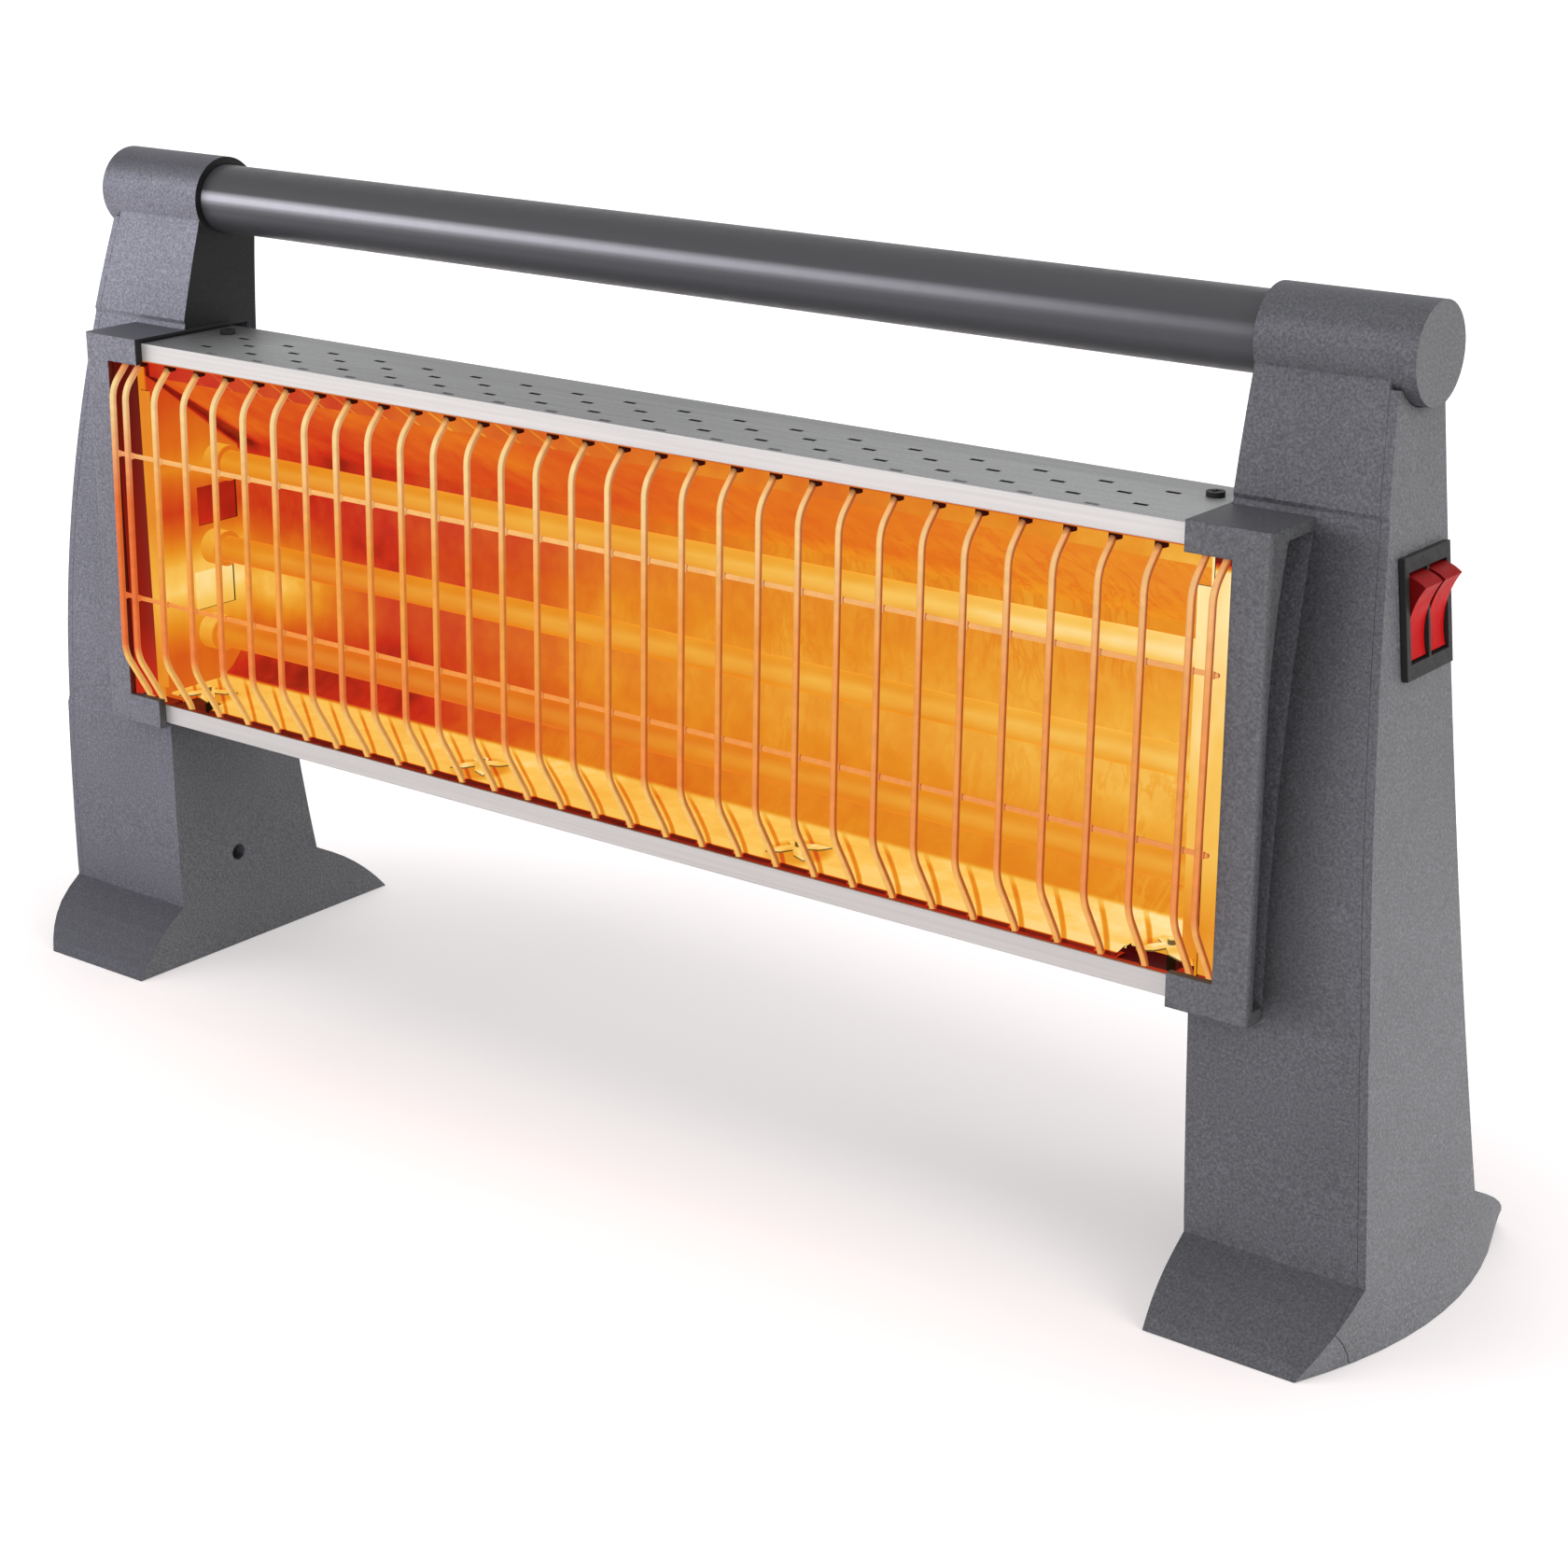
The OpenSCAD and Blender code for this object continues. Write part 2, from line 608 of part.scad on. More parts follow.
module reflector_end(s) {
    wing = concat([for (i = [0:len(reflector_path) - 1]) moved(reflector_path, i, 1)]);
    flange_y = rail_y + 1.5;
    tab_z = top - sheet - run;
    tab_y = tab_screw_y - 10.5;
    color([0.82, 0.82, 0.83]) hand(s) difference() {
        union() {
            along_x(wall_x, wall_x + reflector_t) {
                polygon(concat([[flange_y, opening_bottom + 0.5], [flange_y, opening_top - 2]], wing));
                translate([tab_y, tab_z - 48.2]) square([20, 48.2]);
            }
            block([wall_x - 4.5, flange_y, opening_bottom + 6],
                [wall_x + reflector_t, flange_y + reflector_t, opening_top - 12]);
            block([tab_screw_x - 7, tab_y, tab_z - reflector_t], [wall_x + reflector_t, tab_y + 20, tab_z]);
        }
        each_tube() rod_x(neck_r + socket_gap, 0, big, 0, 0);
        for (i = [-0.5, 0.5]) translate([wall_x, tube_y(i) + 1.5, tube_z(i)]) cube([9, 20, 15], center = true);
        translate([tab_screw_x, tab_screw_y, tab_z - 3]) cylinder(r = screw_r + fit, h = 6);
    }
}

// Star-shaped push-on retainers that hold the reflector's floor to the housing
module reflector_clips() {
    z = floor_z + run;
    color([0.8, 0.75, 0.6]) for (x = clip_x) translate([x, clip_y, 0]) {
        translate([0, 0, housing_z + sheet + fit]) cylinder(r = screw_r, h = z + 2 - housing_z - sheet);
        difference() {
            translate([0, 0, z]) cylinder(r = 5.5, h = 0.8);
            for (a = [45:90:359]) rotate([0, 0, a]) translate([4.6, 0, z]) cube([4, 1.4, 3], center = true);
        }
    }
}

// ---- Heating tubes ----
module at_tube(i) translate([0, tube_y(i), tube_z(i)]) children();

module quartz_tube(i) {
    color([0.9, 0.88, 0.85, 0.6]) at_tube(i) difference() {
        rod_x(tube_d / 2, -tube_end, tube_end, 0, 0);
        rod_x(tube_d / 2 - tube_wall, -tube_end - 1, tube_end + 1, 0, 0);
    }
}

module heating_coil(i) {
    coil_r = tube_d / 2 - tube_wall - run;
    color([1, 0.45, 0.1]) at_tube(i) {
        rod_x(coil_r, -tube_end + 14, tube_end - 14, 0, 0);
        rod_x(coil_pin_r, -pin_end + 1, pin_end - 1, 0, 0);
    }
}

module tube_holder(s, i) {
    color([0.93, 0.92, 0.88]) hand(s) at_tube(i) difference() {
        union() {
            rod_x(collar_d / 2, collar_x - collar_l, collar_x, 0, 0);
            rod_x(neck_r, collar_x - 1, neck_end, 0, 0);
        }
        rod_x(tube_d / 2 + socket_gap, 0, tube_end + 0.1, 0, 0);
        rod_x(coil_pin_r + socket_gap, 0, big, 0, 0);
    }
}

blade_w = 4.8;
module tube_terminals(s) {
    color([0.75, 0.72, 0.62]) hand(s) each_tube() difference() {
        union() {
            rod_x(2.5, neck_end + run, pin_end, 0, 0);
            block([pin_end - 2, -blade_w / 2, -0.4], [blade_end, blade_w / 2, 0.4]);
        }
        rod_x(coil_pin_r + fit, 0, pin_end - 0.9, 0, 0);
    }
}

// Strip that joins the three tubes' left-hand terminals
module left_bus_strip() {
    x = pin_end + 2;
    half = tube_pitch / cos(tube_lean) + 5;
    color([0.78, 0.76, 0.7]) hand(-1) difference() {
        translate([x, -tube_mid_y, tube_mid_z]) rotate([-tube_lean, 0, 0])
            block([0, -4, -half], [0.8, 4, half]);
        each_tube() block([x - 1, -blade_w / 2 - 0.2, -0.6], [x + 2, blade_w / 2 + 0.2, 0.6]);
    }
}

// ---- Wiring in the right-hand stand ----
lead_r = 1.1;
// Plane of the switch body's back at height z
function switch_back(z) = switch_x - switch_depth * cos(switch_tilt)
    - (z - switch_z + switch_depth * sin(switch_tilt)) * tan(switch_tilt);

// Insulated lead from a tube's right-hand blade up to the back of the switch
module tube_lead(i) {
    x0 = blade_end + run;
    x1 = x0 + 2;
    z0 = tube_z(i);
    z1 = switch_z - 2 - 6 * i;
    y = tube_y(i);
    color([0.85, 0.8, 0.7]) union() {
        rod_x(lead_r + 0.9, x0, x1, y, z0);
        translate([x1, y, z0]) sphere(lead_r + 0.9);
        translate([x1, y, z0]) cylinder(r = lead_r, h = z1 - z0);
        translate([x1, y, z1]) sphere(lead_r);
        rod_x(lead_r, x1, switch_back(z1) - run, y, z1);
    }
}

block_z = stand_wall + run;
block_h = 15;
lead_x = gland_x;
lead_y = -4;
module terminal_block() {
    color([0.88, 0.86, 0.8]) difference() {
        block([gland_x - 11, lead_y - 6, block_z], [gland_x + 11, lead_y + 6, block_z + block_h]);
        for (x = [-6.5, 0, 6.5]) translate([gland_x + x, lead_y, block_z + block_h - 4]) cylinder(r = 2.2, h = 5);
    }
}

module supply_lead() {
    top_z = switch_z - (switch_body_h / 2) * cos(switch_tilt) - 9 * sin(switch_tilt) - 2 * run;
    color([0.15, 0.15, 0.16]) translate([lead_x, lead_y, block_z + block_h - 4 + run])
        cylinder(r = 1.9, h = top_z - block_z - block_h + 4 - run);
}

module cord_gland() {
    color([0.1, 0.1, 0.1]) difference() {
        union() {
            rod_y(gland_r, gland_x, gland_y - 14, gland_y + 1, gland_z);
            rod_y(6.5, gland_x, gland_y, gland_y + 2, gland_z);
        }
        rod_y(3.6, gland_x, gland_y - 20, gland_y + 10, gland_z);
    }
}

module thermal_cutout() {
    color([0.7, 0.7, 0.7]) {
        z = (post_z[0] + post_z[1]) / 2;
        rod_x(7, housing_x + run, housing_x + 4, post_y - 1, z);
        rod_x(5, housing_x + 3, housing_x + 7, post_y - 1, z);
    }
}

module tilt_switch() {
    color([0.2, 0.2, 0.22]) hand(-1) {
        block([gland_x - 8, -9, block_z], [gland_x + 8, 9, block_z + 3]);
        translate([gland_x, 0, block_z]) cylinder(r = 7, h = 20);
    }
}

// ---- Switch ----
// Places things on the right-hand outer face: X outwards, Z up the face
module on_outer_face() translate([switch_x, -switch_y, switch_z]) rotate([0, -switch_tilt, 0]) children();

module switch_body() {
    color([0.09, 0.09, 0.09]) on_outer_face() difference() {
        union() {
            block([run, -switch_w / 2, -switch_h / 2], [2.2, switch_w / 2, switch_h / 2]);
            block([-switch_depth, -switch_body_w / 2, -switch_body_h / 2],
                [1, switch_body_w / 2, switch_body_h / 2]);
        }
        for (y = [-well_mid, well_mid]) translate([0, y, 0])
            block([2 - switch_depth, -well_w / 2, -rocker_l / 2 - 0.4], [9, well_w / 2, rocker_l / 2 + 0.4]);
        rod_y(pivot_r + fit, pivot_u, -well_mid - well_w / 2 - 0.7, well_mid + well_w / 2 + 0.7, 0);
    }
}

// Outline of a rocker about its pivot, level: X outwards
module rocker_outline() {
    tip = 6.4;
    dip = 2.6;
    half = sqrt(pow(rocker_l / 2, 2) - tip * tip);
    dish_r = (half * half + dip * dip) / (2 * dip);
    difference() {
        intersection() {
            circle(rocker_l / 2, $fn = 96);
            translate([-5, -rocker_l / 2]) square([5 + tip, rocker_l]);
        }
        translate([tip - dip + dish_r, 0]) circle(dish_r, $fn = 96);
    }
}

// side is -1 for the front rocker and 1 for the rear one
module rocker(side) {
    color([0.85, 0.08, 0.1]) on_outer_face() translate([pivot_u, side * well_mid, 0])
        rotate([0, rocker_tilt, 0]) {
            translate([0, rocker_w / 2, 0]) rotate([90, 0, 0]) linear_extrude(rocker_w) rocker_outline();
            rod_y(pivot_r, 0, -well_w / 2 - 0.4, well_w / 2 + 0.4, 0);
        }
}

outer_shell(-1);  // left_stand_outer_shell
outer_shell(1);  // right_stand_outer_shell
inner_shell(-1);  // left_stand_inner_shell
inner_shell(1);  // right_stand_inner_shell
bezel(-1);  // left_bezel
bezel(1);  // right_bezel
handle_tube();
housing_shell();
housing_end(-1);  // left_housing_end
housing_end(1);  // right_housing_end
guard_rail(opening_top - reflector_t);  // upper_guard_rail
guard_rail(opening_bottom - reflector_t);  // lower_guard_rail
guard_grille();
reflector();
reflector_end(-1);  // left_reflector_end
reflector_end(1);  // right_reflector_end
reflector_clips();
quartz_tube(1);  // upper_quartz_tube
quartz_tube(0);  // middle_quartz_tube
quartz_tube(-1);  // lower_quartz_tube
heating_coil(1);  // upper_heating_coil
heating_coil(0);  // middle_heating_coil
heating_coil(-1);  // lower_heating_coil
tube_holder(-1, 1);  // left_upper_holder
tube_holder(-1, 0);  // left_middle_holder
tube_holder(-1, -1);  // left_lower_holder
tube_holder(1, 1);  // right_upper_holder
tube_holder(1, 0);  // right_middle_holder
tube_holder(1, -1);  // right_lower_holder
tube_terminals(-1);  // left_tube_terminals
tube_terminals(1);  // right_tube_terminals
left_bus_strip();
tube_lead(1);  // upper_tube_lead
tube_lead(0);  // middle_tube_lead
tube_lead(-1);  // lower_tube_lead
switch_body();
rocker(-1);  // front_rocker
rocker(1);  // rear_rocker
terminal_block();
supply_lead();
cord_gland();
thermal_cutout();
tilt_switch();
stand_screws();
housing_end_screws();
top_screws();
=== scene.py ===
import bpy, math
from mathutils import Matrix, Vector

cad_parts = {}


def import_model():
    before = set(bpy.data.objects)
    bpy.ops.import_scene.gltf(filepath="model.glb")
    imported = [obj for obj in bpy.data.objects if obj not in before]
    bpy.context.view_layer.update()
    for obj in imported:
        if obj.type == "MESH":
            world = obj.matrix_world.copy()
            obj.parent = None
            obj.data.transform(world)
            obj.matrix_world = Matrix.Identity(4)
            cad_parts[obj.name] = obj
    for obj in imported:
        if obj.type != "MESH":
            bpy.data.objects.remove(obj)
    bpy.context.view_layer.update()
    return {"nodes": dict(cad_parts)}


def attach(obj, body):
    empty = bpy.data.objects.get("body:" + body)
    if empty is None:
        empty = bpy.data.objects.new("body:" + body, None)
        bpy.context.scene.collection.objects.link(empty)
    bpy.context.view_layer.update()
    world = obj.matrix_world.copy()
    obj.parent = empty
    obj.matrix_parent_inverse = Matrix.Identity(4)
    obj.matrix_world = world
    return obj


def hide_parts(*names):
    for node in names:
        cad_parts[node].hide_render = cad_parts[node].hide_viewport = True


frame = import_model()
nodes = frame["nodes"]
scene = bpy.context.scene
scene.view_settings.view_transform = "Standard"


# ---------------------------------------------------------------- sizes and places
# Metres. +x runs to the stand with the switch, -y is the side that heats, and z = 0 is the floor.
TALL = 0.32                 # just above the stands
HEAT_X = 0.24               # what glows lies this far or less from the middle
HEAT_Z = (0.105, 0.245)     # and between these heights
SHEET = 0.0005              # the reflector's thickness
FLOOR_TOP = 0.1121          # the upper face of the reflector's floor
MIDDLE_Z = 0.17             # between the reflector's floor and its roof
ROOF_START = (0.203, 0.212)     # where its back turns into its roof
WALL_X = 0.2290             # its end walls
WALL_TURN_Y = (-0.0440, -0.0452)    # where they turn outwards into flanges
TUBE_GAPS_Z = (0.144, 0.153), (0.176, 0.186)    # between the lower tubes, and the upper ones
HOUSING_TOP = 0.2485
FLANGE_Y = -0.0474          # the front of the side strips, and the guard's feet

# The guard
PITCH = 0.455 / 29          # from one upright to the next
FIRST_X, OUTER_X = -0.2275, 0.2345
WIRES = [-OUTER_X] + [FIRST_X + PITCH * k for k in range(30)] + [OUTER_X]
WIRE_R, BEND_R = 0.0012, 0.0045
WIRE_LOW, WIRE_HIGH = 0.110, 0.243      # where the uprights pass the rails
HOOK_Y, HOOK = -0.0468, 0.0016          # their hooked ends, and how far those reach past the rails
LOW_BEND = (-0.0583, WIRE_LOW + 0.0205)     # y and z
HIGH_BEND = (-0.0558, WIRE_HIGH - 0.0105)
LONG_WIRES_Z = (0.153, 0.2075)
LONG_WIRE_X, LONG_WIRE_R = 0.2365, 0.00085
LONG_WIRE_BACK = 0.0019                 # behind the uprights' middle
WELD_R, WELD_X, WELD_FORWARD = 0.00125, 0.0009, 0.0004
COLLAR_Y, COLLAR_Z = -0.0470, (0.2400, 0.2420)
COLLAR_R = (0.0013, 0.0021)

# The clips on the reflector's floor
CLIPS_X, CLIP_Y = (-0.2145, -0.0715, 0.0715, 0.2145), -0.0360
CLIP_HIGH, CLIP_DROOP = 0.0020, 0.0014  # the dome's height, and how far the arms droop from it
CLIP_WAIST, CLIP_ARM = 0.0034, 0.0078   # the radius between the arms, and the arms' reach past it
PIN_R, PIN_Z = 0.0014, (0.1046, 0.1152)

# The reflector's turned edges
UPPER_EDGE_X = WALL_X - 0.0001
UPPER_EDGE_Y, UPPER_EDGE_Z = (-0.0424, -0.0420), (0.2352, 0.2421)
LOWER_EDGE_X, LOWER_EDGE_Y, LOWER_EDGE_DROP = 0.2015, (-0.0477, -0.0416), 0.0013
STRIP_X, STRIP_FRONT_Y, STRIP_Z = (0.2301, 0.2384), -0.0512, (0.1115, 0.2416)

CAMERA_AT = (0.6588, -0.8040, 0.4646)
CAMERA_ROUND, CAMERA_UP = math.radians(37.7), math.radians(18.8)
LENS, SENSOR = 71.3, 36.0   # millimetres
GROUND_SIZE, GROUND_Z = 12.0, -0.0002
SHADOW_X = 0.22             # the ground's shading is even for this far either side of the middle
SOFT_LIGHT = 0.62           # the world's strength where neither the camera nor a reflection sees it


# ---------------------------------------------------------------- camera
def aimed(o, where, direction):
    """Puts a camera or a lamp into the scene, looking along a direction."""
    o.location = where
    o.rotation_mode = "QUATERNION"
    o.rotation_quaternion = direction.to_track_quat("-Z", "Y")
    scene.collection.objects.link(o)


def camera():
    back = Vector((math.sin(CAMERA_ROUND) * math.cos(CAMERA_UP),
                   -math.cos(CAMERA_ROUND) * math.cos(CAMERA_UP), math.sin(CAMERA_UP)))
    data = bpy.data.cameras.new("camera")
    data.lens, data.sensor_width = LENS, SENSOR
    data.clip_start, data.clip_end = 0.02, 40.0
    o = bpy.data.objects.new("camera", data)
    aimed(o, CAMERA_AT, -back)
    scene.camera = o


camera()


# ---------------------------------------------------------------- materials
# A Mix node's inputs A and B and its output, for each kind of data
MIX_SOCKETS = {"FLOAT": (2, 3, 0), "RGBA": (6, 7, 2)}


def is_number(value):
    return isinstance(value, (int, float)) or getattr(value, "type", "") == "VALUE"


class Mat:
    """A node material: a Principled shader and short calls that return sockets."""

    def __init__(self, name):
        self.m = bpy.data.materials.new(name)
        self.m.use_nodes = True
        self.t = self.m.node_tree
        self.t.nodes.clear()
        self.out = self.t.nodes.new("ShaderNodeOutputMaterial")
        self.p = self.t.nodes.new("ShaderNodeBsdfPrincipled")
        self.t.links.new(self.p.outputs[0], self.out.inputs[0])
        self.where = self.t.nodes.new("ShaderNodeTexCoord").outputs["Object"]

    def node(self, kind, *inputs, **settings):
        """A node with its settings and with its inputs filled in order."""
        n = self.t.nodes.new(kind)
        for key, value in settings.items():
            setattr(n, key, value)
        for socket, value in zip(n.inputs, inputs):
            self.put(socket, value)
        return n

    def put(self, socket, value):
        """A link where the value is a socket, or else the socket's own value."""
        if isinstance(value, bpy.types.NodeSocket):
            self.t.links.new(value, socket)
        elif isinstance(value, (tuple, list)) and len(value) == 3 and socket.type == "RGBA":
            socket.default_value = (*value, 1.0)
        else:
            socket.default_value = value

    def set(self, **values):
        """The shader's inputs by name, with _ for each space."""
        for name, value in values.items():
            self.put(self.p.inputs[name.replace("_", " ")], value)

    # numbers
    def math(self, op, a, b=0.0, clamp=False):
        return self.node("ShaderNodeMath", a, b, operation=op, use_clamp=clamp).outputs[0]

    def add(self, *terms):
        total = terms[0]
        for term in terms[1:]:
            total = self.math("ADD", total, term)
        return total

    def sub(self, a, b, clamp=False):
        return self.math("SUBTRACT", a, b, clamp)

    def mul(self, *factors, clamp=False):
        product = factors[0]
        for factor in factors[1:]:
            product = self.math("MULTIPLY", product, factor, clamp)
        return product

    def largest(self, *values):
        most = values[0]
        for value in values[1:]:
            most = self.math("MAXIMUM", most, value)
        return most

    def abs(self, value):
        return self.math("ABSOLUTE", value)

    def outward(self, x, nx):
        """How far a face looks away from the heater's middle, from -1 to 1."""
        return self.mul(self.math("SIGN", x), nx)

    def span(self, value, lo, hi, a=0.0, b=1.0):
        """A number that goes from a to b as value goes from lo to hi, and stays there beyond."""
        n = self.t.nodes.new("ShaderNodeMapRange")
        n.clamp = True
        for socket, v in zip(n.inputs, (value, lo, hi, a, b)):
            self.put(socket, v)
        return n.outputs["Result"]

    def ramp(self, fac, *stops):
        n = self.t.nodes.new("ShaderNodeValToRGB")
        elements = n.color_ramp.elements
        while len(elements) < len(stops):
            elements.new(0.5)
        for element, (position, colour) in zip(elements, stops):
            element.position = position
            grey = not isinstance(colour, (tuple, list))
            element.color = (colour, colour, colour, 1.0) if grey else (*colour, 1.0)
        self.put(n.inputs["Fac"], fac)
        return n.outputs["Color"]

    def curve(self, value, lo, hi, *stops):
        """A number that follows the stops as value goes from lo to hi. Each stop is a place on
        that way and a number from 0 to 1."""
        return self.ramp(self.span(value, lo, hi), *[((v - lo) / (hi - lo), c) for v, c in stops])

    def along(self, x, *stops):
        """A curve from the left bezel to the right one."""
        return self.curve(x, -HEAT_X, HEAT_X, *stops)

    def rising(self, z, *stops):
        """A curve from below the reflector to above it."""
        return self.curve(z, *HEAT_Z, *stops)

    # colours
    def mix(self, fac, a, b, blend="MIX"):
        """Two colours mixed, or two numbers."""
        kind = "FLOAT" if is_number(a) or is_number(b) else "RGBA"
        n = self.t.nodes.new("ShaderNodeMix")
        n.data_type, n.blend_type = kind, blend
        first, second, result = MIX_SOCKETS[kind]
        for i, value in ((0, fac), (first, a), (second, b)):
            self.put(n.inputs[i], value)
        return n.outputs[result]

    def scaled(self, colour, factor):
        n = self.node("ShaderNodeVectorMath", colour, operation="SCALE")
        self.put(n.inputs["Scale"], factor)
        return n.outputs[0]

    # places and directions
    def stretch(self, x, y, z):
        """The object's own coordinates, scaled along each axis."""
        n = self.node("ShaderNodeMapping", self.where)
        n.inputs["Scale"].default_value = (x, y, z)
        return n.outputs[0]

    def xyz(self, vector=None):
        return self.node("ShaderNodeSeparateXYZ", vector or self.where).outputs

    def normal_xyz(self):
        return self.xyz(self.t.nodes.new("ShaderNodeNewGeometry").outputs["Normal"])

    def distance(self, at, place):
        return self.node("ShaderNodeVectorMath", at, place, operation="DISTANCE").outputs["Value"]

    # patterns
    def noise(self, scale, detail=2.0, rough=0.5, at=None):
        n = self.t.nodes.new("ShaderNodeTexNoise")
        self.put(n.inputs["Vector"], at or self.where)
        self.put(n.inputs["Scale"], scale)
        self.put(n.inputs["Detail"], detail)
        self.put(n.inputs["Roughness"], rough)
        return n.outputs["Fac"]

    def vary(self, noise, a, b):
        """A noise, which lies mostly between 0.3 and 0.7, spread over a to b."""
        return self.span(noise, 0.3, 0.7, a, b)

    def mottled(self, glow_level, by, *noise):
        """A number made uneven by up to this much either way."""
        return self.add(glow_level, self.vary(self.noise(*noise), -by, by))

    def cells(self, scale):
        n = self.t.nodes.new("ShaderNodeTexVoronoi")
        self.put(n.inputs["Vector"], self.where)
        self.put(n.inputs["Scale"], scale)
        return n.outputs["Distance"]

    def soft_edges(self, radius):
        n = self.t.nodes.new("ShaderNodeBevel")
        n.samples = 4
        n.inputs["Radius"].default_value = radius
        return n.outputs[0]

    def bump(self, height, strength, distance, base=None):
        n = self.t.nodes.new("ShaderNodeBump")
        n.inputs["Strength"].default_value = strength
        n.inputs["Distance"].default_value = distance
        self.put(n.inputs["Height"], height)
        if base is not None:
            self.put(n.inputs["Normal"], base)
        self.put(self.p.inputs["Normal"], n.outputs[0])


def moulded(name, dark, mid, light, edge=0.0004, bezel=False):
    """Moulded plastic with a fine grain and a pale fleck. Its tone follows the photograph's light,
    which differs with height, between the stands and with the way that a face points."""
    m = Mat(name)
    x, y, z = m.xyz()
    nx, ny, nz = m.normal_xyz()
    left = m.span(x, -0.05, 0.05, 1.0, 0.0)
    fine = m.noise(1150, 2.0, 0.65)

    fleck = m.sub(1.0, m.mul(m.cells(900), 2.2, clamp=True), clamp=True)
    speck = m.ramp(fine, (0.30, dark), (0.5, mid), (0.70, light))
    speck = m.mix(m.mul(fleck, 0.12), speck, (0.5, 0.5, 0.52))
    # painted cool light: bluer on the faces that don't look to the right, most of all on the left
    # stand
    painted_cool_light = m.mul(m.span(nx, 0.6, 0.3), m.span(left, 0.0, 1.0, 0.45, 1.0))
    speck = m.mix(painted_cool_light, speck, m.mix(1.0, speck, (0.97, 0.96, 1.10), "MULTIPLY"))

    # painted light and shade: the tone of a face by how far it looks up, and by whether it
    # looks to the front, or out of or into the heater
    up = m.curve(nz, -1.0, 1.0, (-1.0, 0.34), (-0.55, 0.42), (-0.35, 0.49), (0.34, 0.49),
                 (0.55, 0.32), (0.8, 0.26), (1.0, 0.195 if bezel else 0.27))
    left_front = m.curve(z, 0.0, TALL, (0.0, 0.40), (0.05, 0.55), (0.12, 0.70), (0.2, 0.79),
                         (0.265, 0.92), (0.29, 0.94), (0.3, 0.84))
    level = m.sub(1.0, m.span(nz, 0.45, 0.8))
    front = m.mix(m.mul(left, level), 0.48 if bezel else 0.42, left_front)
    outer = m.curve(z, 0.0, TALL, (0.0, 0.60), (0.1, 0.57), (0.2, 0.46), (0.3, 0.42))
    if bezel:
        outer = 0.27
    inner = m.curve(z, 0.0, TALL, (0.0, 0.47), (0.09, 0.40), (0.11, 0.20), (0.25, 0.01),
                    (0.30, 0.0))
    face = m.mix(m.span(nx, 0.35, 0.8), front, m.mix(left, outer, inner))

    # the right stand's front lies in the bezel's shadow, most of all close to the bezel
    shadow = m.curve(x, 0.24, 0.30, (0.24, 0.42), (0.2515, 0.45), (0.262, 0.58), (0.272, 0.86),
                     (0.28, 1.0))
    beside = m.mul(m.span(z, 0.099, 0.110), m.span(z, 0.252, 0.246), m.span(x, 0.2508, 0.2512),
                   m.span(nx, 0.7, 0.4))
    tone = m.mul(up, face, m.vary(m.noise(26, 3.0, 0.55), 4.28, 4.83), m.mix(beside, 1.0, shadow))
    colour = m.scaled(speck, tone)
    if bezel:
        # the tubes light the left bezel's inner side
        lit = m.mul(m.span(nx, 0.6, 0.8), m.span(x, -0.234, -0.236))
        colour = m.mix(lit, colour, (0.12, 0.010, 0.008))
    m.set(Base_Color=colour, Metallic=0.1, Roughness=m.vary(fine, 0.48, 0.66),
          Specular_IOR_Level=0.35)
    m.bump(fine, 0.3, 0.00012, m.soft_edges(edge))
    return m.m


def metal(name, colour, rough, metallic=1.0, brushed=None):
    """Bare or blackened metal; brushed is the scale of its grain along each axis."""
    m = Mat(name)
    grain = m.noise(1.0, 3.0, 0.6, m.stretch(*brushed)) if brushed else m.noise(500, 3.0, 0.6)
    m.set(Base_Color=m.mix(m.noise(30), tuple(c * 0.86 for c in colour), colour),
          Metallic=metallic, Roughness=m.vary(grain, rough * 0.8, rough * 1.2))
    m.bump(grain, 0.12, 0.0001, m.soft_edges(0.0004))
    return m.m


def plain(name, colour, rough, edge=0.0005, shine=0.5, scale=700, strength=0.1):
    """Plastic, rubber or a woven sleeve in one colour; scale and strength are its grain's."""
    m = Mat(name)
    grain = m.noise(scale)
    m.set(Base_Color=m.mix(m.noise(60), tuple(c * 0.9 for c in colour), colour),
          Roughness=m.vary(grain, rough * 0.85, rough * 1.15), Specular_IOR_Level=shine)
    m.bump(grain, strength, 0.0001, m.soft_edges(edge))
    return m.m


def rocker_plastic(name):
    """Glossy red plastic with painted shade: deeper on the rockers' upper ends, which look up, and
    along their edges, which don't look to the right.
    """
    m = Mat(name)
    nx, ny, nz = m.normal_xyz()
    fine = m.noise(300)
    red = m.mix(m.noise(60), (0.58, 0.006, 0.007), (0.68, 0.008, 0.009))
    tone = m.curve(nz, -1.0, 1.0, (-1.0, 0.55), (-0.2, 0.95), (0.25, 0.85), (0.5, 0.45),
                   (1.0, 0.42))
    tone = m.mul(tone, m.span(nx, 0.0, 0.45, 0.30, 1.0))
    m.set(Base_Color=m.scaled(red, tone), Roughness=m.vary(fine, 0.42, 0.54),
          Specular_IOR_Level=0.08)
    m.bump(fine, 0.04, 0.0001, m.soft_edges(0.0005))
    return m.m


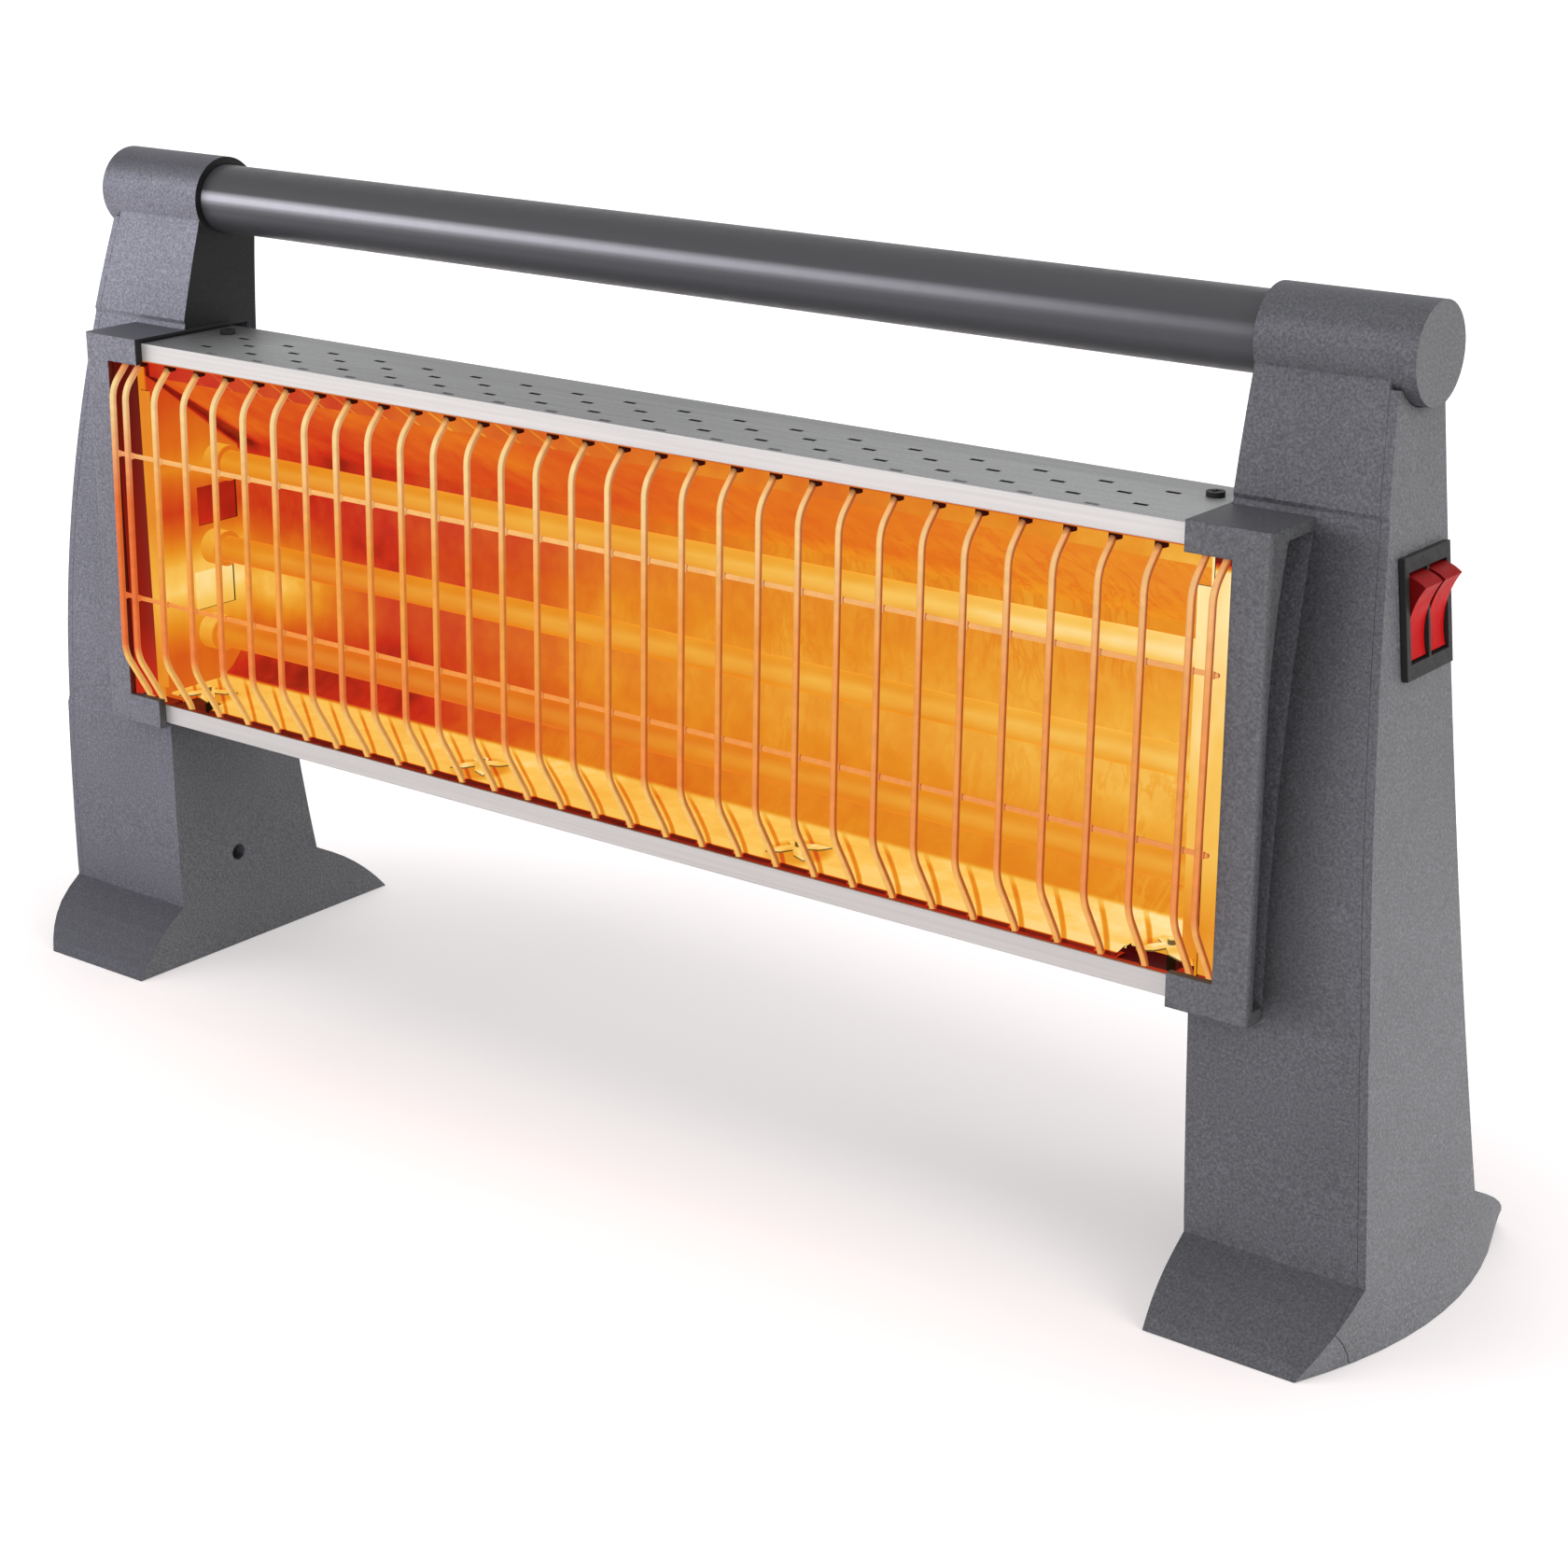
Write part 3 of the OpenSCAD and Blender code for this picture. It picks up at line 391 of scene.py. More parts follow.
def tube_paint(name):
    """Satin paint on the handle, with painted shade by how far a face looks up, and a painted
    highlight along its front that fades to the right.
    """
    m = Mat(name)
    nx, ny, nz = m.normal_xyz()
    x, y, z = m.xyz()
    grain = m.noise(260)
    tone = m.curve(nz, -1.0, 1.0, (-1.0, 0.30), (-0.64, 0.35), (-0.30, 0.44), (-0.1, 0.38),
                   (0.4, 0.27), (0.8, 0.20), (0.95, 0.21), (1.0, 0.30))
    # the painted highlight along the front
    line = m.curve(nz, -1.0, 1.0, (-0.20, 0.0), (-0.06, 0.12), (0.04, 0.48), (0.12, 1.0),
                   (0.21, 1.0), (0.29, 0.55), (0.37, 0.04), (0.42, 0.0))
    fade = m.curve(x, -0.25, 0.25, (-0.25, 0.95), (-0.17, 0.90), (-0.05, 0.66), (0.09, 0.38),
                   (0.20, 0.14), (0.25, 0.10))
    tone = m.add(tone, m.mul(line, fade, 2.9))
    paint = m.mix(grain, (0.232, 0.228, 0.256), (0.262, 0.258, 0.288))
    m.set(Base_Color=m.scaled(paint, tone), Roughness=m.vary(grain, 0.40, 0.50),
          Specular_IOR_Level=0.25)
    m.bump(grain, 0.06, 0.0001)
    return m.m


def housing_paint(name):
    """Silver paint with bright lips; painted shade darkens it towards the left, on the lower lip,
    inside and in the vents, and a painted glow puts a dull red on its lowest upward faces.
    """
    m = Mat(name)
    x, y, z = m.xyz()
    nx, ny, nz = m.normal_xyz()
    fleck = m.noise(1500, 2.0, 0.6)
    streak = m.noise(1.0, 3.0, 0.6, m.stretch(9, 700, 700))

    body = m.ramp(fleck, (0.3, (0.262, 0.265, 0.268)), (0.7, (0.350, 0.352, 0.355)))
    # painted light and shade along the top: darkest beside the left stand, palest near the right
    # one
    body = m.scaled(body, m.along(x, (-0.24, 0.19), (-0.212, 0.34), (-0.180, 0.74), (-0.1, 0.60),
                                  (0.0, 0.56), (0.1, 0.72), (0.24, 0.92)))
    bright = m.ramp(streak, (0.3, (0.74, 0.71, 0.71)), (0.7, (0.86, 0.83, 0.83)))
    # painted shade on the lower lip
    bright = m.scaled(bright, m.span(z, 0.15, 0.2, 0.84, 1.0))
    lip = m.mul(m.span(ny, -0.9, -0.6, 1.0, 0.0), m.span(y, -0.0470, -0.0485))
    paint = m.mix(lip, m.scaled(body, 1.22), bright)

    # painted shade: nearly black in the vents and on the housing's inside
    vent = m.mul(m.span(m.abs(nz), 0.6, 0.4), m.span(y, -0.0440, -0.0430),
                 m.span(z, HOUSING_TOP - 0.0020, HOUSING_TOP - 0.0015))
    inside = m.mul(m.span(z, HOUSING_TOP - 0.0001, HOUSING_TOP - 0.0003), m.span(nz, 0.2, -0.2))
    paint = m.mix(m.largest(vent, m.mul(inside, m.sub(1.0, lip))), paint, (0.012, 0.008, 0.007))
    # painted glow: a dull red light on the housing's low upward faces, which show through the
    # notches in the reflector's floor
    red_glow_below = m.mul(m.span(z, 0.2, 0.15), m.span(nz, 0.5, 0.8), m.span(y, -0.0470, -0.0460))
    m.set(Base_Color=paint, Metallic=0.30, Roughness=m.vary(streak, 0.40, 0.56),
          Emission_Color=m.mix(fleck, (0.045, 0.001, 0.002), (0.060, 0.001, 0.002)),
          Emission_Strength=red_glow_below)
    m.bump(fleck, 0.12, 0.0001, m.soft_edges(0.0006))
    return m.m


# ---------------------------------------------------------------- what glows
# How a glowing surface looks as its glow level goes from 0 to 1, from maroon to cream. The
# tubes and coils glow of their own; on the other parts that use it the glow is painted light.
GLOW = [(0.0, (0.09, 0.002, 0.002)), (0.20, (0.55, 0.022, 0.008)), (0.34, (0.62, 0.070, 0.009)),
        (0.50, (0.70, 0.152, 0.010)), (0.64, (0.77, 0.262, 0.014)), (0.77, (0.85, 0.40, 0.040)),
        (0.88, (0.93, 0.56, 0.11)), (1.0, (1.0, 0.80, 0.38))]


def stripes(m, at, width):
    """1 on lines that are as far apart as the guard's wires, and 0 between them."""
    whole = 20.5    # pitches that keep the count above 0 and put each wire at a half
    wave = m.math("FRACT", m.math("DIVIDE", m.add(at, PITCH * whole - FIRST_X), PITCH))
    return m.span(m.abs(m.sub(wave, 0.5)), width, width * 0.45)


def right_half(m, x):
    """0 on the left half of the heater and 1 on the right one."""
    return m.span(x, -0.1, 0.1)


def floor_painted_light(m):
    """The painted glow on the reflector's flat floor: pale, with a painted shadow line behind each
    wire's foot and a painted shadow ring round each clip."""
    x, y, z = m.xyz()
    lean = m.mul(m.add(y, 0.0464), m.span(x, -0.05, 0.20, 1.25, 0.65))
    slant = m.sub(m.add(x, lean), m.span(x, -0.05, 0.20, 0.0030, 0.0018))
    line = m.mul(stripes(m, slant, 0.085), m.span(y, -0.012, -0.022))
    glow_level = m.along(x, (-0.24, 0.84), (0.0, 0.87), (0.12, 0.90), (0.24, 0.97))
    glow_level = m.sub(glow_level, m.mul(line, 0.30))
    aside = 0.0006      # the rings lie a little off their clips
    for clip_x in CLIPS_X:
        ring_at = (clip_x + aside, CLIP_Y - aside, 0.0)
        near = m.distance(m.stretch(1.0, 1.0, 0.0), ring_at)
        glow_level = m.sub(glow_level, m.span(near, 0.0125, 0.0085, 0.0, 0.20))
    return glow_level


def front_edge_painted_light(m):
    """The painted glow on the floor's edge that slopes down over the lower rail, with painted shade
    that leaves it nearly black between the feet.
    """
    x, y, z = m.xyz()
    dark = m.sub(0.90, m.mul(stripes(m, x, 0.16), 0.45))
    return m.sub(floor_painted_light(m), m.mul(m.span(y, -0.0460, -0.0468), dark))


def reflector_painted_light(m):
    """The reflector's painted glow: deep red at the left, golden at the right, palest on the floor
    and in a painted pool of light beside the left lower window."""
    x, y, z = m.xyz()
    back = m.along(x, (-0.24, 0.32), (-0.212, 0.16), (-0.165, 0.20), (-0.115, 0.27),
                   (-0.06, 0.47), (0.0, 0.59), (0.12, 0.66), (0.24, 0.69))
    roof = m.along(x, (-0.24, 0.36), (-0.13, 0.30), (0.0, 0.42), (0.09, 0.50), (0.24, 0.61))
    level = m.rising(z, (0.115, 0.48), (0.128, 0.52), (0.143, 0.66), (0.162, 0.66), (0.178, 0.50),
                     (0.200, 0.40), (0.212, 0.48), (0.225, 0.50), (0.240, 0.60))
    glow_level = m.add(m.mix(m.span(z, *ROOF_START), back, roof), m.span(level, 0.0, 1.0, -0.19, 0.19))

    # painted light: paler low at the right, and in a pool of light beside the left lower window
    right = m.mul(m.span(x, 0.06, 0.21),
                  m.rising(z, (0.130, 0.0), (0.150, 1.0), (0.172, 1.0), (0.190, 0.0)))
    pool_at = (-0.0945, -0.005, 0.1485)     # in the stretched coordinates
    pool = m.distance(m.stretch(0.45, 0.5, 1.0), pool_at)
    pool = m.math("POWER", m.span(pool, 0.032, 0.005), 1.4)
    patch = m.noise(16, 4.0, 0.6, m.stretch(1.0, 1.0, 0.8))
    uneven = m.mul(m.span(patch, 0.32, 0.68, -1.0, 1.0), m.span(x, -0.1, 0.1, 0.15, 0.06))
    glow_level = m.add(glow_level, m.mul(right, 0.10), m.mul(pool, 0.62), uneven)

    # painted shadow in the corner of the roof and the left end wall, widening towards the back
    wide = m.span(y, -0.040, -0.008, 0.0025, 0.0160)
    corner_shade = m.span(m.math("DIVIDE", m.add(x, WALL_X), wide), 1.0, 0.6)
    corner_shade = m.mul(corner_shade, m.span(z, 0.2, 0.205))
    glow_level = m.mul(glow_level, m.span(corner_shade, 0.0, 1.0, 1.0, 0.15))

    # faint upright veins, more of them towards the right
    bend = m.noise(30)
    bent = m.scaled(m.node("ShaderNodeCombineXYZ", bend, bend, bend).outputs[0], 3.0)
    at = m.node("ShaderNodeVectorMath", m.stretch(150, 30, 34), bent, operation="ADD").outputs[0]
    vein = m.noise(1.0, 3.0, 0.6, at)
    vein = m.sub(1.0, m.mul(m.abs(m.sub(vein, 0.5)), 16.0, clamp=True))
    vein = m.mul(vein, m.span(x, -0.05, 0.2, 0.25, 1.0), m.span(patch, 0.40, 0.60))
    glow_level = m.sub(glow_level, m.mul(vein, 0.10))

    ground = m.mul(m.span(z, FLOOR_TOP + 0.0012, FLOOR_TOP + 0.0003), m.span(y, -0.004, -0.010))
    glow_level = m.mix(ground, glow_level, m.add(floor_painted_light(m), m.vary(patch, -0.06, 0.06)))
    return m.mottled(glow_level, 0.03, 120, 3.0, 0.6)


def right_edge_painted_light(m):
    """The painted glow beside the right-hand bezel: cream at the top, golden lower down."""
    return m.rising(m.xyz()[2], (0.11, 0.72), (0.126, 0.62), (0.150, 0.82), (0.190, 0.93),
                    (0.2365, 1.0))


def wing_painted_light(m):
    """The painted glow on the reflector's end walls, with painted shade under the roof at the left,
    and on their front strips.
    """
    x, y, z = m.xyz()
    wall = m.rising(z, (0.113, 0.50), (0.125, 0.46), (0.138, 0.72), (0.150, 0.93), (0.160, 0.85),
                    (0.172, 0.50), (0.181, 0.28), (0.190, 0.42), (0.198, 0.60), (0.208, 0.46),
                    (0.222, 0.34), (0.240, 0.26))
    # painted shade on the left wall just under the roof, wider towards the back
    roof_back_y, roof_back_z, roof_fall = -0.0042, 0.2075, 0.722
    roof_z = m.sub(roof_back_z, m.mul(m.add(y, -roof_back_y), roof_fall))
    corner_shade = m.math("DIVIDE", m.sub(roof_z, z), m.span(y, -0.040, -0.008, 0.0008, 0.0036))
    corner_shade = m.mul(m.span(corner_shade, 1.0, 0.5), m.span(x, 0.0, -0.1, 0.0, 0.85))
    wall = m.mul(wall, m.sub(1.0, corner_shade))
    left_strip = m.add(m.span(wall, 0.3, 0.9, -0.05, 0.10), 0.66)
    strip = m.mix(right_half(m, x), left_strip, right_edge_painted_light(m))
    glow_level = m.mix(m.span(y, *WALL_TURN_Y), wall, strip)
    return m.mottled(glow_level, 0.07, 40, 3.0, 0.6, m.stretch(1, 1, 0.4))


def tube_glow_and_painted_shade(m):
    """The tubes stand out at the left; towards the right only the upper one does."""
    x, y, z = m.xyz()
    upper = m.along(x, (-0.24, 0.66), (-0.10, 0.73), (0.0, 0.77), (0.08, 0.83), (0.16, 0.92),
                    (0.24, 0.98))
    middle = m.along(x, (-0.24, 0.66), (-0.16, 0.64), (-0.07, 0.70), (0.03, 0.73), (0.10, 0.76),
                     (0.17, 0.83), (0.24, 0.88))
    lower = m.along(x, (-0.24, 0.64), (-0.16, 0.54), (-0.05, 0.58), (0.05, 0.65), (0.24, 0.73))
    lower_gap, upper_gap = TUBE_GAPS_Z
    glow_level = m.mix(m.span(z, *upper_gap), m.mix(m.span(z, *lower_gap), lower, middle), upper)
    # painted shade: paler on the faces that look up, darker on those that look down
    shade = m.curve(m.normal_xyz()[2], -1.0, 1.0, (-1.0, 0.1), (-0.6, 0.3), (0.0, 0.62),
                    (0.35, 0.72), (0.8, 0.45))
    glow_level = m.add(glow_level, m.span(shade, 0.0, 1.0, -0.17, 0.09))
    return m.mottled(glow_level, 0.04, 60, 3.0, 0.6, m.stretch(0.4, 1, 1))


def holder_painted_light(m):
    """The ceramic holders' painted glow: paler on the faces that look up, on the lower holders and
    on the collars against the end walls.
    """
    x, y, z = m.xyz()
    shade = m.span(m.normal_xyz()[2], -1.0, 0.6, 0.52, 0.76)
    low = m.mul(m.span(z, 0.18, 0.165), 0.04)
    collar_x = 0.2218
    sleeve = m.span(m.abs(x), collar_x - 0.0008, collar_x, 0.16, 0.0)
    return m.mottled(m.sub(m.add(shade, low), sleeve), 0.03, 90)


def return_painted_light(m):
    """The painted glow on the turned-up edge of the reflector behind the upper rail."""
    x, y, z = m.xyz()
    glow_level = m.along(x, (-0.24, 0.12), (-0.20, 0.30), (-0.1, 0.40), (0.0, 0.48), (0.1, 0.56),
                   (0.195, 0.62), (0.215, 0.74), (0.24, 0.76))
    # slanting reflections of the wires' upper bends, at the left
    shine = stripes(m, m.add(x, m.mul(z, 2.15)), 0.07)
    shine = m.mul(shine, m.along(x, (-0.21, 0.0), (-0.18, 1.0), (-0.05, 1.0), (0.02, 0.0)))
    return m.mottled(m.add(glow_level, m.mul(shine, 0.22)), 0.12, 24, 4.0, 0.6)


def strip_painted_light(m):
    """The painted glow between the reflector's end walls and the bezels: maroon at the left, cream
    at the right.
    """
    x, y, z = m.xyz()
    left = m.rising(z, (0.11, 0.22), (0.14, 0.08), (0.2, 0.03), (0.24, 0.0))
    uneven = m.noise(50, 3.0, 0.6, m.stretch(1, 1, 0.4))
    right = m.add(right_edge_painted_light(m), m.vary(uneven, -0.08, 0.05))
    # painted shade: nearly black at the top of the right strip
    right = m.mul(right, m.span(z, 0.2360, 0.2385, 1.0, 0.03))
    return m.mix(right_half(m, x), left, right)


def rail_painted_light(m):
    """The painted glow on the guard's rails: orange above; below, painted shade leaves them nearly
    dark.
    """
    x, y, z = m.xyz()
    low = m.along(x, (-0.24, 0.03), (0.0, 0.05), (0.12, 0.12), (0.24, 0.16))
    return m.mottled(m.mix(m.span(z, MIDDLE_Z, 0.16), 0.48, low), 0.05, 120, 3.0)


def window_painted_light(m):
    """The painted glow on what shows through the openings in the reflector's end walls."""
    x, y, z = m.xyz()
    glow_level = m.rising(z, (0.12, 0.4), (0.138, 0.85), (0.157, 1.0), (0.164, 0.3), (0.174, 0.16),
                    (0.24, 0.05))
    return m.mottled(glow_level, 0.04, 60, 3.0)


def clip_painted_light(m):
    """The painted glow on the clips on the floor, nearly cream."""
    return m.vary(m.noise(150, 3.0), 0.78, 0.98)


def inside_only(m):
    """1 on the faces that look into the reflector, 0 on its outer skin."""
    x, y, z = m.xyz()
    nx, ny, nz = m.normal_xyz()
    back = m.span(ny, 0.25, 0.35)
    roof = m.mul(m.span(nz, 0.2, 0.3), m.span(z, MIDDLE_Z, 0.175))
    underside = m.mul(m.span(nz, -0.2, -0.3), m.span(z, MIDDLE_Z, 0.165))
    end = m.span(m.outward(x, nx), 0.4, 0.6)
    return m.sub(1.0, m.largest(back, roof, underside, end))


def wing_lit(m):
    """Where the painted glow falls on the end walls' faces and strips; the cut edges of their
    openings stay dark as painted shade.
    """
    y, nx = m.xyz()[1], m.normal_xyz()[0]
    cut = m.mul(m.span(m.abs(nx), 0.6, 0.4), m.span(y, -0.042, -0.038))
    return m.mul(inside_only(m), m.sub(1.0, m.mul(cut, 0.92)))


def top_lit(m):
    """Where the painted glow falls on the clips' tops; their edges and pins stay brown as painted
    shade.
    """
    above = m.span(m.xyz()[2], FLOOR_TOP - 0.0006, FLOOR_TOP - 0.0001, 0.05, 1.0)
    return m.mul(m.span(m.normal_xyz()[2], 0.45, 0.75, 0.16, 1.0), above)


def inner_face(m):
    """The side of the housing's ends that the tubes light."""
    return m.span(m.outward(m.xyz()[0], m.normal_xyz()[0]), -0.6, -0.8)


def glowing(name, glow_level, strength=1.0, rough=0.45, lit=None, bump=0.3):
    """Metal, glass or ceramic that glows by a glow level, a function of its place, where lit says
    so. Only the tubes and coils glow of their own; elsewhere the glow is painted light from the
    tubes, over a nearly black base.
    """
    m = Mat(name)
    power = m.mul(lit(m), strength) if lit else strength
    m.set(Base_Color=(0.030, 0.008, 0.003), Metallic=0.0, Roughness=rough,
          Specular_IOR_Level=0.08, Emission_Color=m.ramp(glow_level(m), *GLOW), Emission_Strength=power)
    if bump:
        m.bump(m.noise(55, 3.0, 0.5), bump, 0.0012)
    return m.m


def wire_metal(name):
    """Plated wire lit by the tubes, whose light is painted on as glow: a painted cream highlight at
    the upper bends, orange below, with red-brown painted shade on the sides towards the right."""
    m = Mat(name)
    x, y, z = m.xyz()
    nx, ny, nz = m.normal_xyz()
    colour = m.mix(m.span(x, -0.05, 0.2), (0.90, 0.36, 0.065), (0.84, 0.31, 0.085))
    leftmost = m.mul(m.span(x, -0.222, -0.226), 0.75)
    colour = m.mix(leftmost, colour, (0.80, 0.11, 0.03))
    # a painted highlight at the upper bends
    high = m.curve(z, HEAT_Z[0], 0.247, (0.19, 0.0), (0.212, 0.5), (0.224, 0.85), (0.234, 1.0),
                   (0.2385, 0.45), (0.244, 0.0))
    high = m.mul(high, m.span(x, 0.0, 0.24, 0.95, 0.45))
    colour = m.mix(high, colour, (0.97, 0.72, 0.33))
    # painted light: pinker towards the reflector's floor, then yellow in front of it
    pink = m.mul(m.span(z, 0.165, 0.140), m.span(x, -0.1, 0.1, 0.75, 0.3))
    colour = m.mix(pink, colour, (0.86, 0.20, 0.055))
    low = m.mul(m.span(z, 0.1345, 0.1290), m.span(x, 0.05, 0.22, 0.92, 0.45))
    colour = m.mix(low, colour, (0.93, 0.56, 0.15))
    # painted shade on the sides, most of all on the one that looks to the right
    turned = m.add(m.mul(nx, 0.79), m.mul(ny, 0.61))
    right_side = m.mul(m.span(turned, 0.10, 0.60), m.span(x, -0.2, 0.12, 0.40, 0.88))
    colour = m.mix(right_side, colour, (0.34, 0.038, 0.006))
    left_side = m.mul(m.span(turned, -0.70, -0.95), 0.30)
    colour = m.mix(left_side, colour, (0.45, 0.07, 0.01))
    # nearly black where it passes the upper rail
    rail_low, rail_high = COLLAR_Z
    colour = m.mix(m.span(z, rail_low - 0.0005, rail_high), colour, (0.06, 0.006, 0.003))
    m.set(Base_Color=m.scaled(colour, 0.08), Metallic=0.0,
          Roughness=m.vary(m.noise(900), 0.32, 0.46), Specular_IOR_Level=0.10,
          Emission_Color=colour, Emission_Strength=m.vary(m.noise(300, 3.0), 0.86, 1.0))
    return m.m


# ---------------------------------------------------------------- the materials and their nodes
STAND = moulded("stand_grey_fleck", (0.090, 0.091, 0.098), (0.140, 0.142, 0.152),
                (0.21, 0.213, 0.226))
BEZEL = moulded("bezel_grey_fleck", (0.090, 0.092, 0.098), (0.140, 0.142, 0.150),
                (0.20, 0.203, 0.214), edge=0.0010, bezel=True)
HANDLE = tube_paint("handle_grey_paint")
HOUSING = housing_paint("housing_silver_paint")
# all but the tubes and coils below glow with painted light from the tubes
RAIL = glowing("rail_steel_painted_glow", rail_painted_light, 0.9, lit=inside_only, bump=0.0)
EDGE = glowing("floor_edge_painted_glow", front_edge_painted_light, lit=inside_only, bump=0.0)
WIRE = wire_metal("guard_wire_plated_painted_glow")
REFLECTOR = glowing("reflector_painted_glow", reflector_painted_light, rough=0.36, lit=inside_only)
WINGS = glowing("reflector_end_painted_glow", wing_painted_light, lit=wing_lit)
RETURN = glowing("reflector_edge_painted_glow", return_painted_light, lit=inside_only, bump=0.0)
STRIP = glowing("side_strip_painted_glow", strip_painted_light, lit=inside_only, bump=0.0)
TUBE = glowing("quartz_glow", tube_glow_and_painted_shade, rough=0.3, bump=0.1)
COIL = glowing("coil_glow", tube_glow_and_painted_shade)
CERAMIC = glowing("ceramic_painted_glow", holder_painted_light, rough=0.5, bump=0.1)
CLIP = glowing("clip_steel_painted_glow", clip_painted_light, lit=top_lit, bump=0.1)
PLATE = glowing("housing_end_painted_glow", window_painted_light, lit=inner_face, bump=0.1)
COLLAR = plain("rail_hole_dark_rim", (0.050, 0.005, 0.003), 0.8, edge=0.0002, shine=0.1)
RED = rocker_plastic("rocker_red_gloss")
BLACK = plain("switch_black", (0.026, 0.026, 0.026), 0.5, edge=0.0004, shine=0.15)
SCREW = metal("screw_black", (0.012, 0.012, 0.013), 0.6, metallic=0.2)
ZINC = metal("zinc_screw", (0.60, 0.60, 0.58), 0.35)
BRASS = metal("terminal_brass", (0.66, 0.55, 0.33), 0.3, brushed=(40, 400, 400))
STEEL = metal("plain_steel", (0.60, 0.60, 0.61), 0.35, brushed=(30, 500, 500))
WHITE = plain("block_white", (0.78, 0.75, 0.68), 0.5)
SLEEVE = plain("lead_sleeve", (0.72, 0.66, 0.52), 0.8, edge=0.0003, scale=1500, strength=0.5)
LEAD = plain("lead_black", (0.02, 0.02, 0.021), 0.45)
GLAND = plain("gland_black", (0.018, 0.018, 0.018), 0.6)


def dress(material, *names):
    for n in names:
        o = nodes[n]
        o.data.materials.clear()
        o.data.materials.append(material)


SIDES = ("left", "right")
LEVELS = ("upper", "middle", "lower")
dress(STAND, *[f"{s}_stand_{k}_shell" for s in SIDES for k in ("outer", "inner")])
dress(BEZEL, "left_bezel", "right_bezel")
dress(HANDLE, "handle_tube")
dress(HOUSING, "housing_shell")
dress(PLATE, "left_housing_end", "right_housing_end")
dress(RAIL, "upper_guard_rail", "lower_guard_rail")
dress(WIRE, "guard_grille")
dress(REFLECTOR, "reflector")
dress(WINGS, "left_reflector_end", "right_reflector_end")
dress(CLIP, "reflector_clips")
dress(TUBE, *[f"{k}_quartz_tube" for k in LEVELS])
dress(COIL, *[f"{k}_heating_coil" for k in LEVELS])
dress(CERAMIC, *[f"{s}_{k}_holder" for s in SIDES for k in LEVELS])
dress(BRASS, "left_tube_terminals", "right_tube_terminals", "left_bus_strip")
dress(SLEEVE, *[f"{k}_tube_lead" for k in LEVELS])
dress(RED, "front_rocker", "rear_rocker")
dress(BLACK, "switch_body", "tilt_switch")
dress(WHITE, "terminal_block")
dress(LEAD, "supply_lead")
dress(GLAND, "cord_gland")
dress(STEEL, "thermal_cutout")
dress(SCREW, "stand_screws", "top_screws")
dress(ZINC, "housing_end_screws")


# ---------------------------------------------------------------- meshes
def mesh_object(name, verts, faces, material, smooth=True):
    data = bpy.data.meshes.new(name)
    data.from_pydata(verts, [], faces)
    data.validate()
    data.materials.append(material)
    if smooth:
        data.polygons.foreach_set("use_smooth", [True] * len(data.polygons))
        data.set_sharp_from_angle(angle=math.radians(50))
    o = bpy.data.objects.new(name, data)
    scene.collection.objects.link(o)
    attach(o, "frame")
    return o


def joined(parts):
    """The vertices and faces of several parts as one part's."""
    verts, faces = [], []
    for v, f in parts:
        base = len(verts)
        verts += v
        faces += [tuple(i + base for i in face) for face in f]
    return verts, faces


def circle(sides):
    """The cosine and sine of as many even steps round a circle."""
    turns = [2 * math.pi * k / sides for k in range(sides)]
    return [(math.cos(t), math.sin(t)) for t in turns]


def rounded(points, radius, steps=5):
    """The path with each inner corner replaced by a short arc."""
    out = [points[0]]
    for a, b, c in zip(points, points[1:], points[2:]):
        ra = min(radius, (a - b).length * 0.45)
        rc = min(radius, (c - b).length * 0.45)
        p, q = b + (a - b).normalized() * ra, b + (c - b).normalized() * rc
        for k in range(steps + 1):
            t = k / steps
            out.append(p * (1 - t) ** 2 + b * 2 * t * (1 - t) + q * t * t)
    out.append(points[-1])
    return out


def sweep(points, radius, sides=10, ends=0.0):
    """A round bar along points. Its ends are domed by this share of the radius."""
    stations = []
    for i, p in enumerate(points):
        before, after = points[max(i - 1, 0)], points[min(i + 1, len(points) - 1)]
        stations.append((p, (after - before).normalized(), radius))
    if ends:
        (p, d, _), (q, e, _) = stations[0], stations[-1]
        turns = (0.8, 1.35)     # radians from the bar's side towards its tip
        dome = [(radius * ends * math.sin(t), radius * math.cos(t)) for t in turns]
        head = [(p - d * reach, d, r) for reach, r in reversed(dome)]
        stations = head + stations + [(q + e * reach, e, r) for reach, r in dome]

    verts, faces = [], []
    up = Vector((0, 0, 1)) if abs(stations[0][1].z) < 0.9 else Vector((1, 0, 0))
    for p, d, r in stations:
        side = up.cross(d).normalized()
        up = d.cross(side).normalized()
        verts += [tuple(p + (side * c + up * s) * r) for c, s in circle(sides)]
    last = len(verts) - sides
    for ring_at in range(0, last, sides):
        for k in range(sides):
            a, b = ring_at + k, ring_at + (k + 1) % sides
            faces.append((a, b, b + sides, a + sides))
    faces.append(tuple(range(sides - 1, -1, -1)))
    faces.append(tuple(range(last, last + sides)))
    return verts, faces


def plate(xs, ys, zs):
    """A flat plate between the two values of each axis."""
    verts = [(x, y, z) for x in xs for y in ys for z in zs]
    return verts, [(0, 1, 3, 2), (4, 6, 7, 5), (0, 4, 5, 1), (2, 3, 7, 6), (0, 2, 6, 4),
                   (1, 5, 7, 3)]


def ring(x, y, low, high, inner, outer, sides=14):
    """A collar with its outer lower corner bevelled."""
    bevel = 0.0003
    verts, faces = [], []
    for r, z in ((inner, low), (outer, low + bevel), (outer, high), (inner, high)):
        verts += [(x + r * c, y + r * s, z) for c, s in circle(sides)]
    for i in range(4):
        a, b = i * sides, (i + 1) % 4 * sides
        for k in range(sides):
            j = (k + 1) % sides
            faces.append((a + k, a + j, b + j, b + k))
    return verts, faces


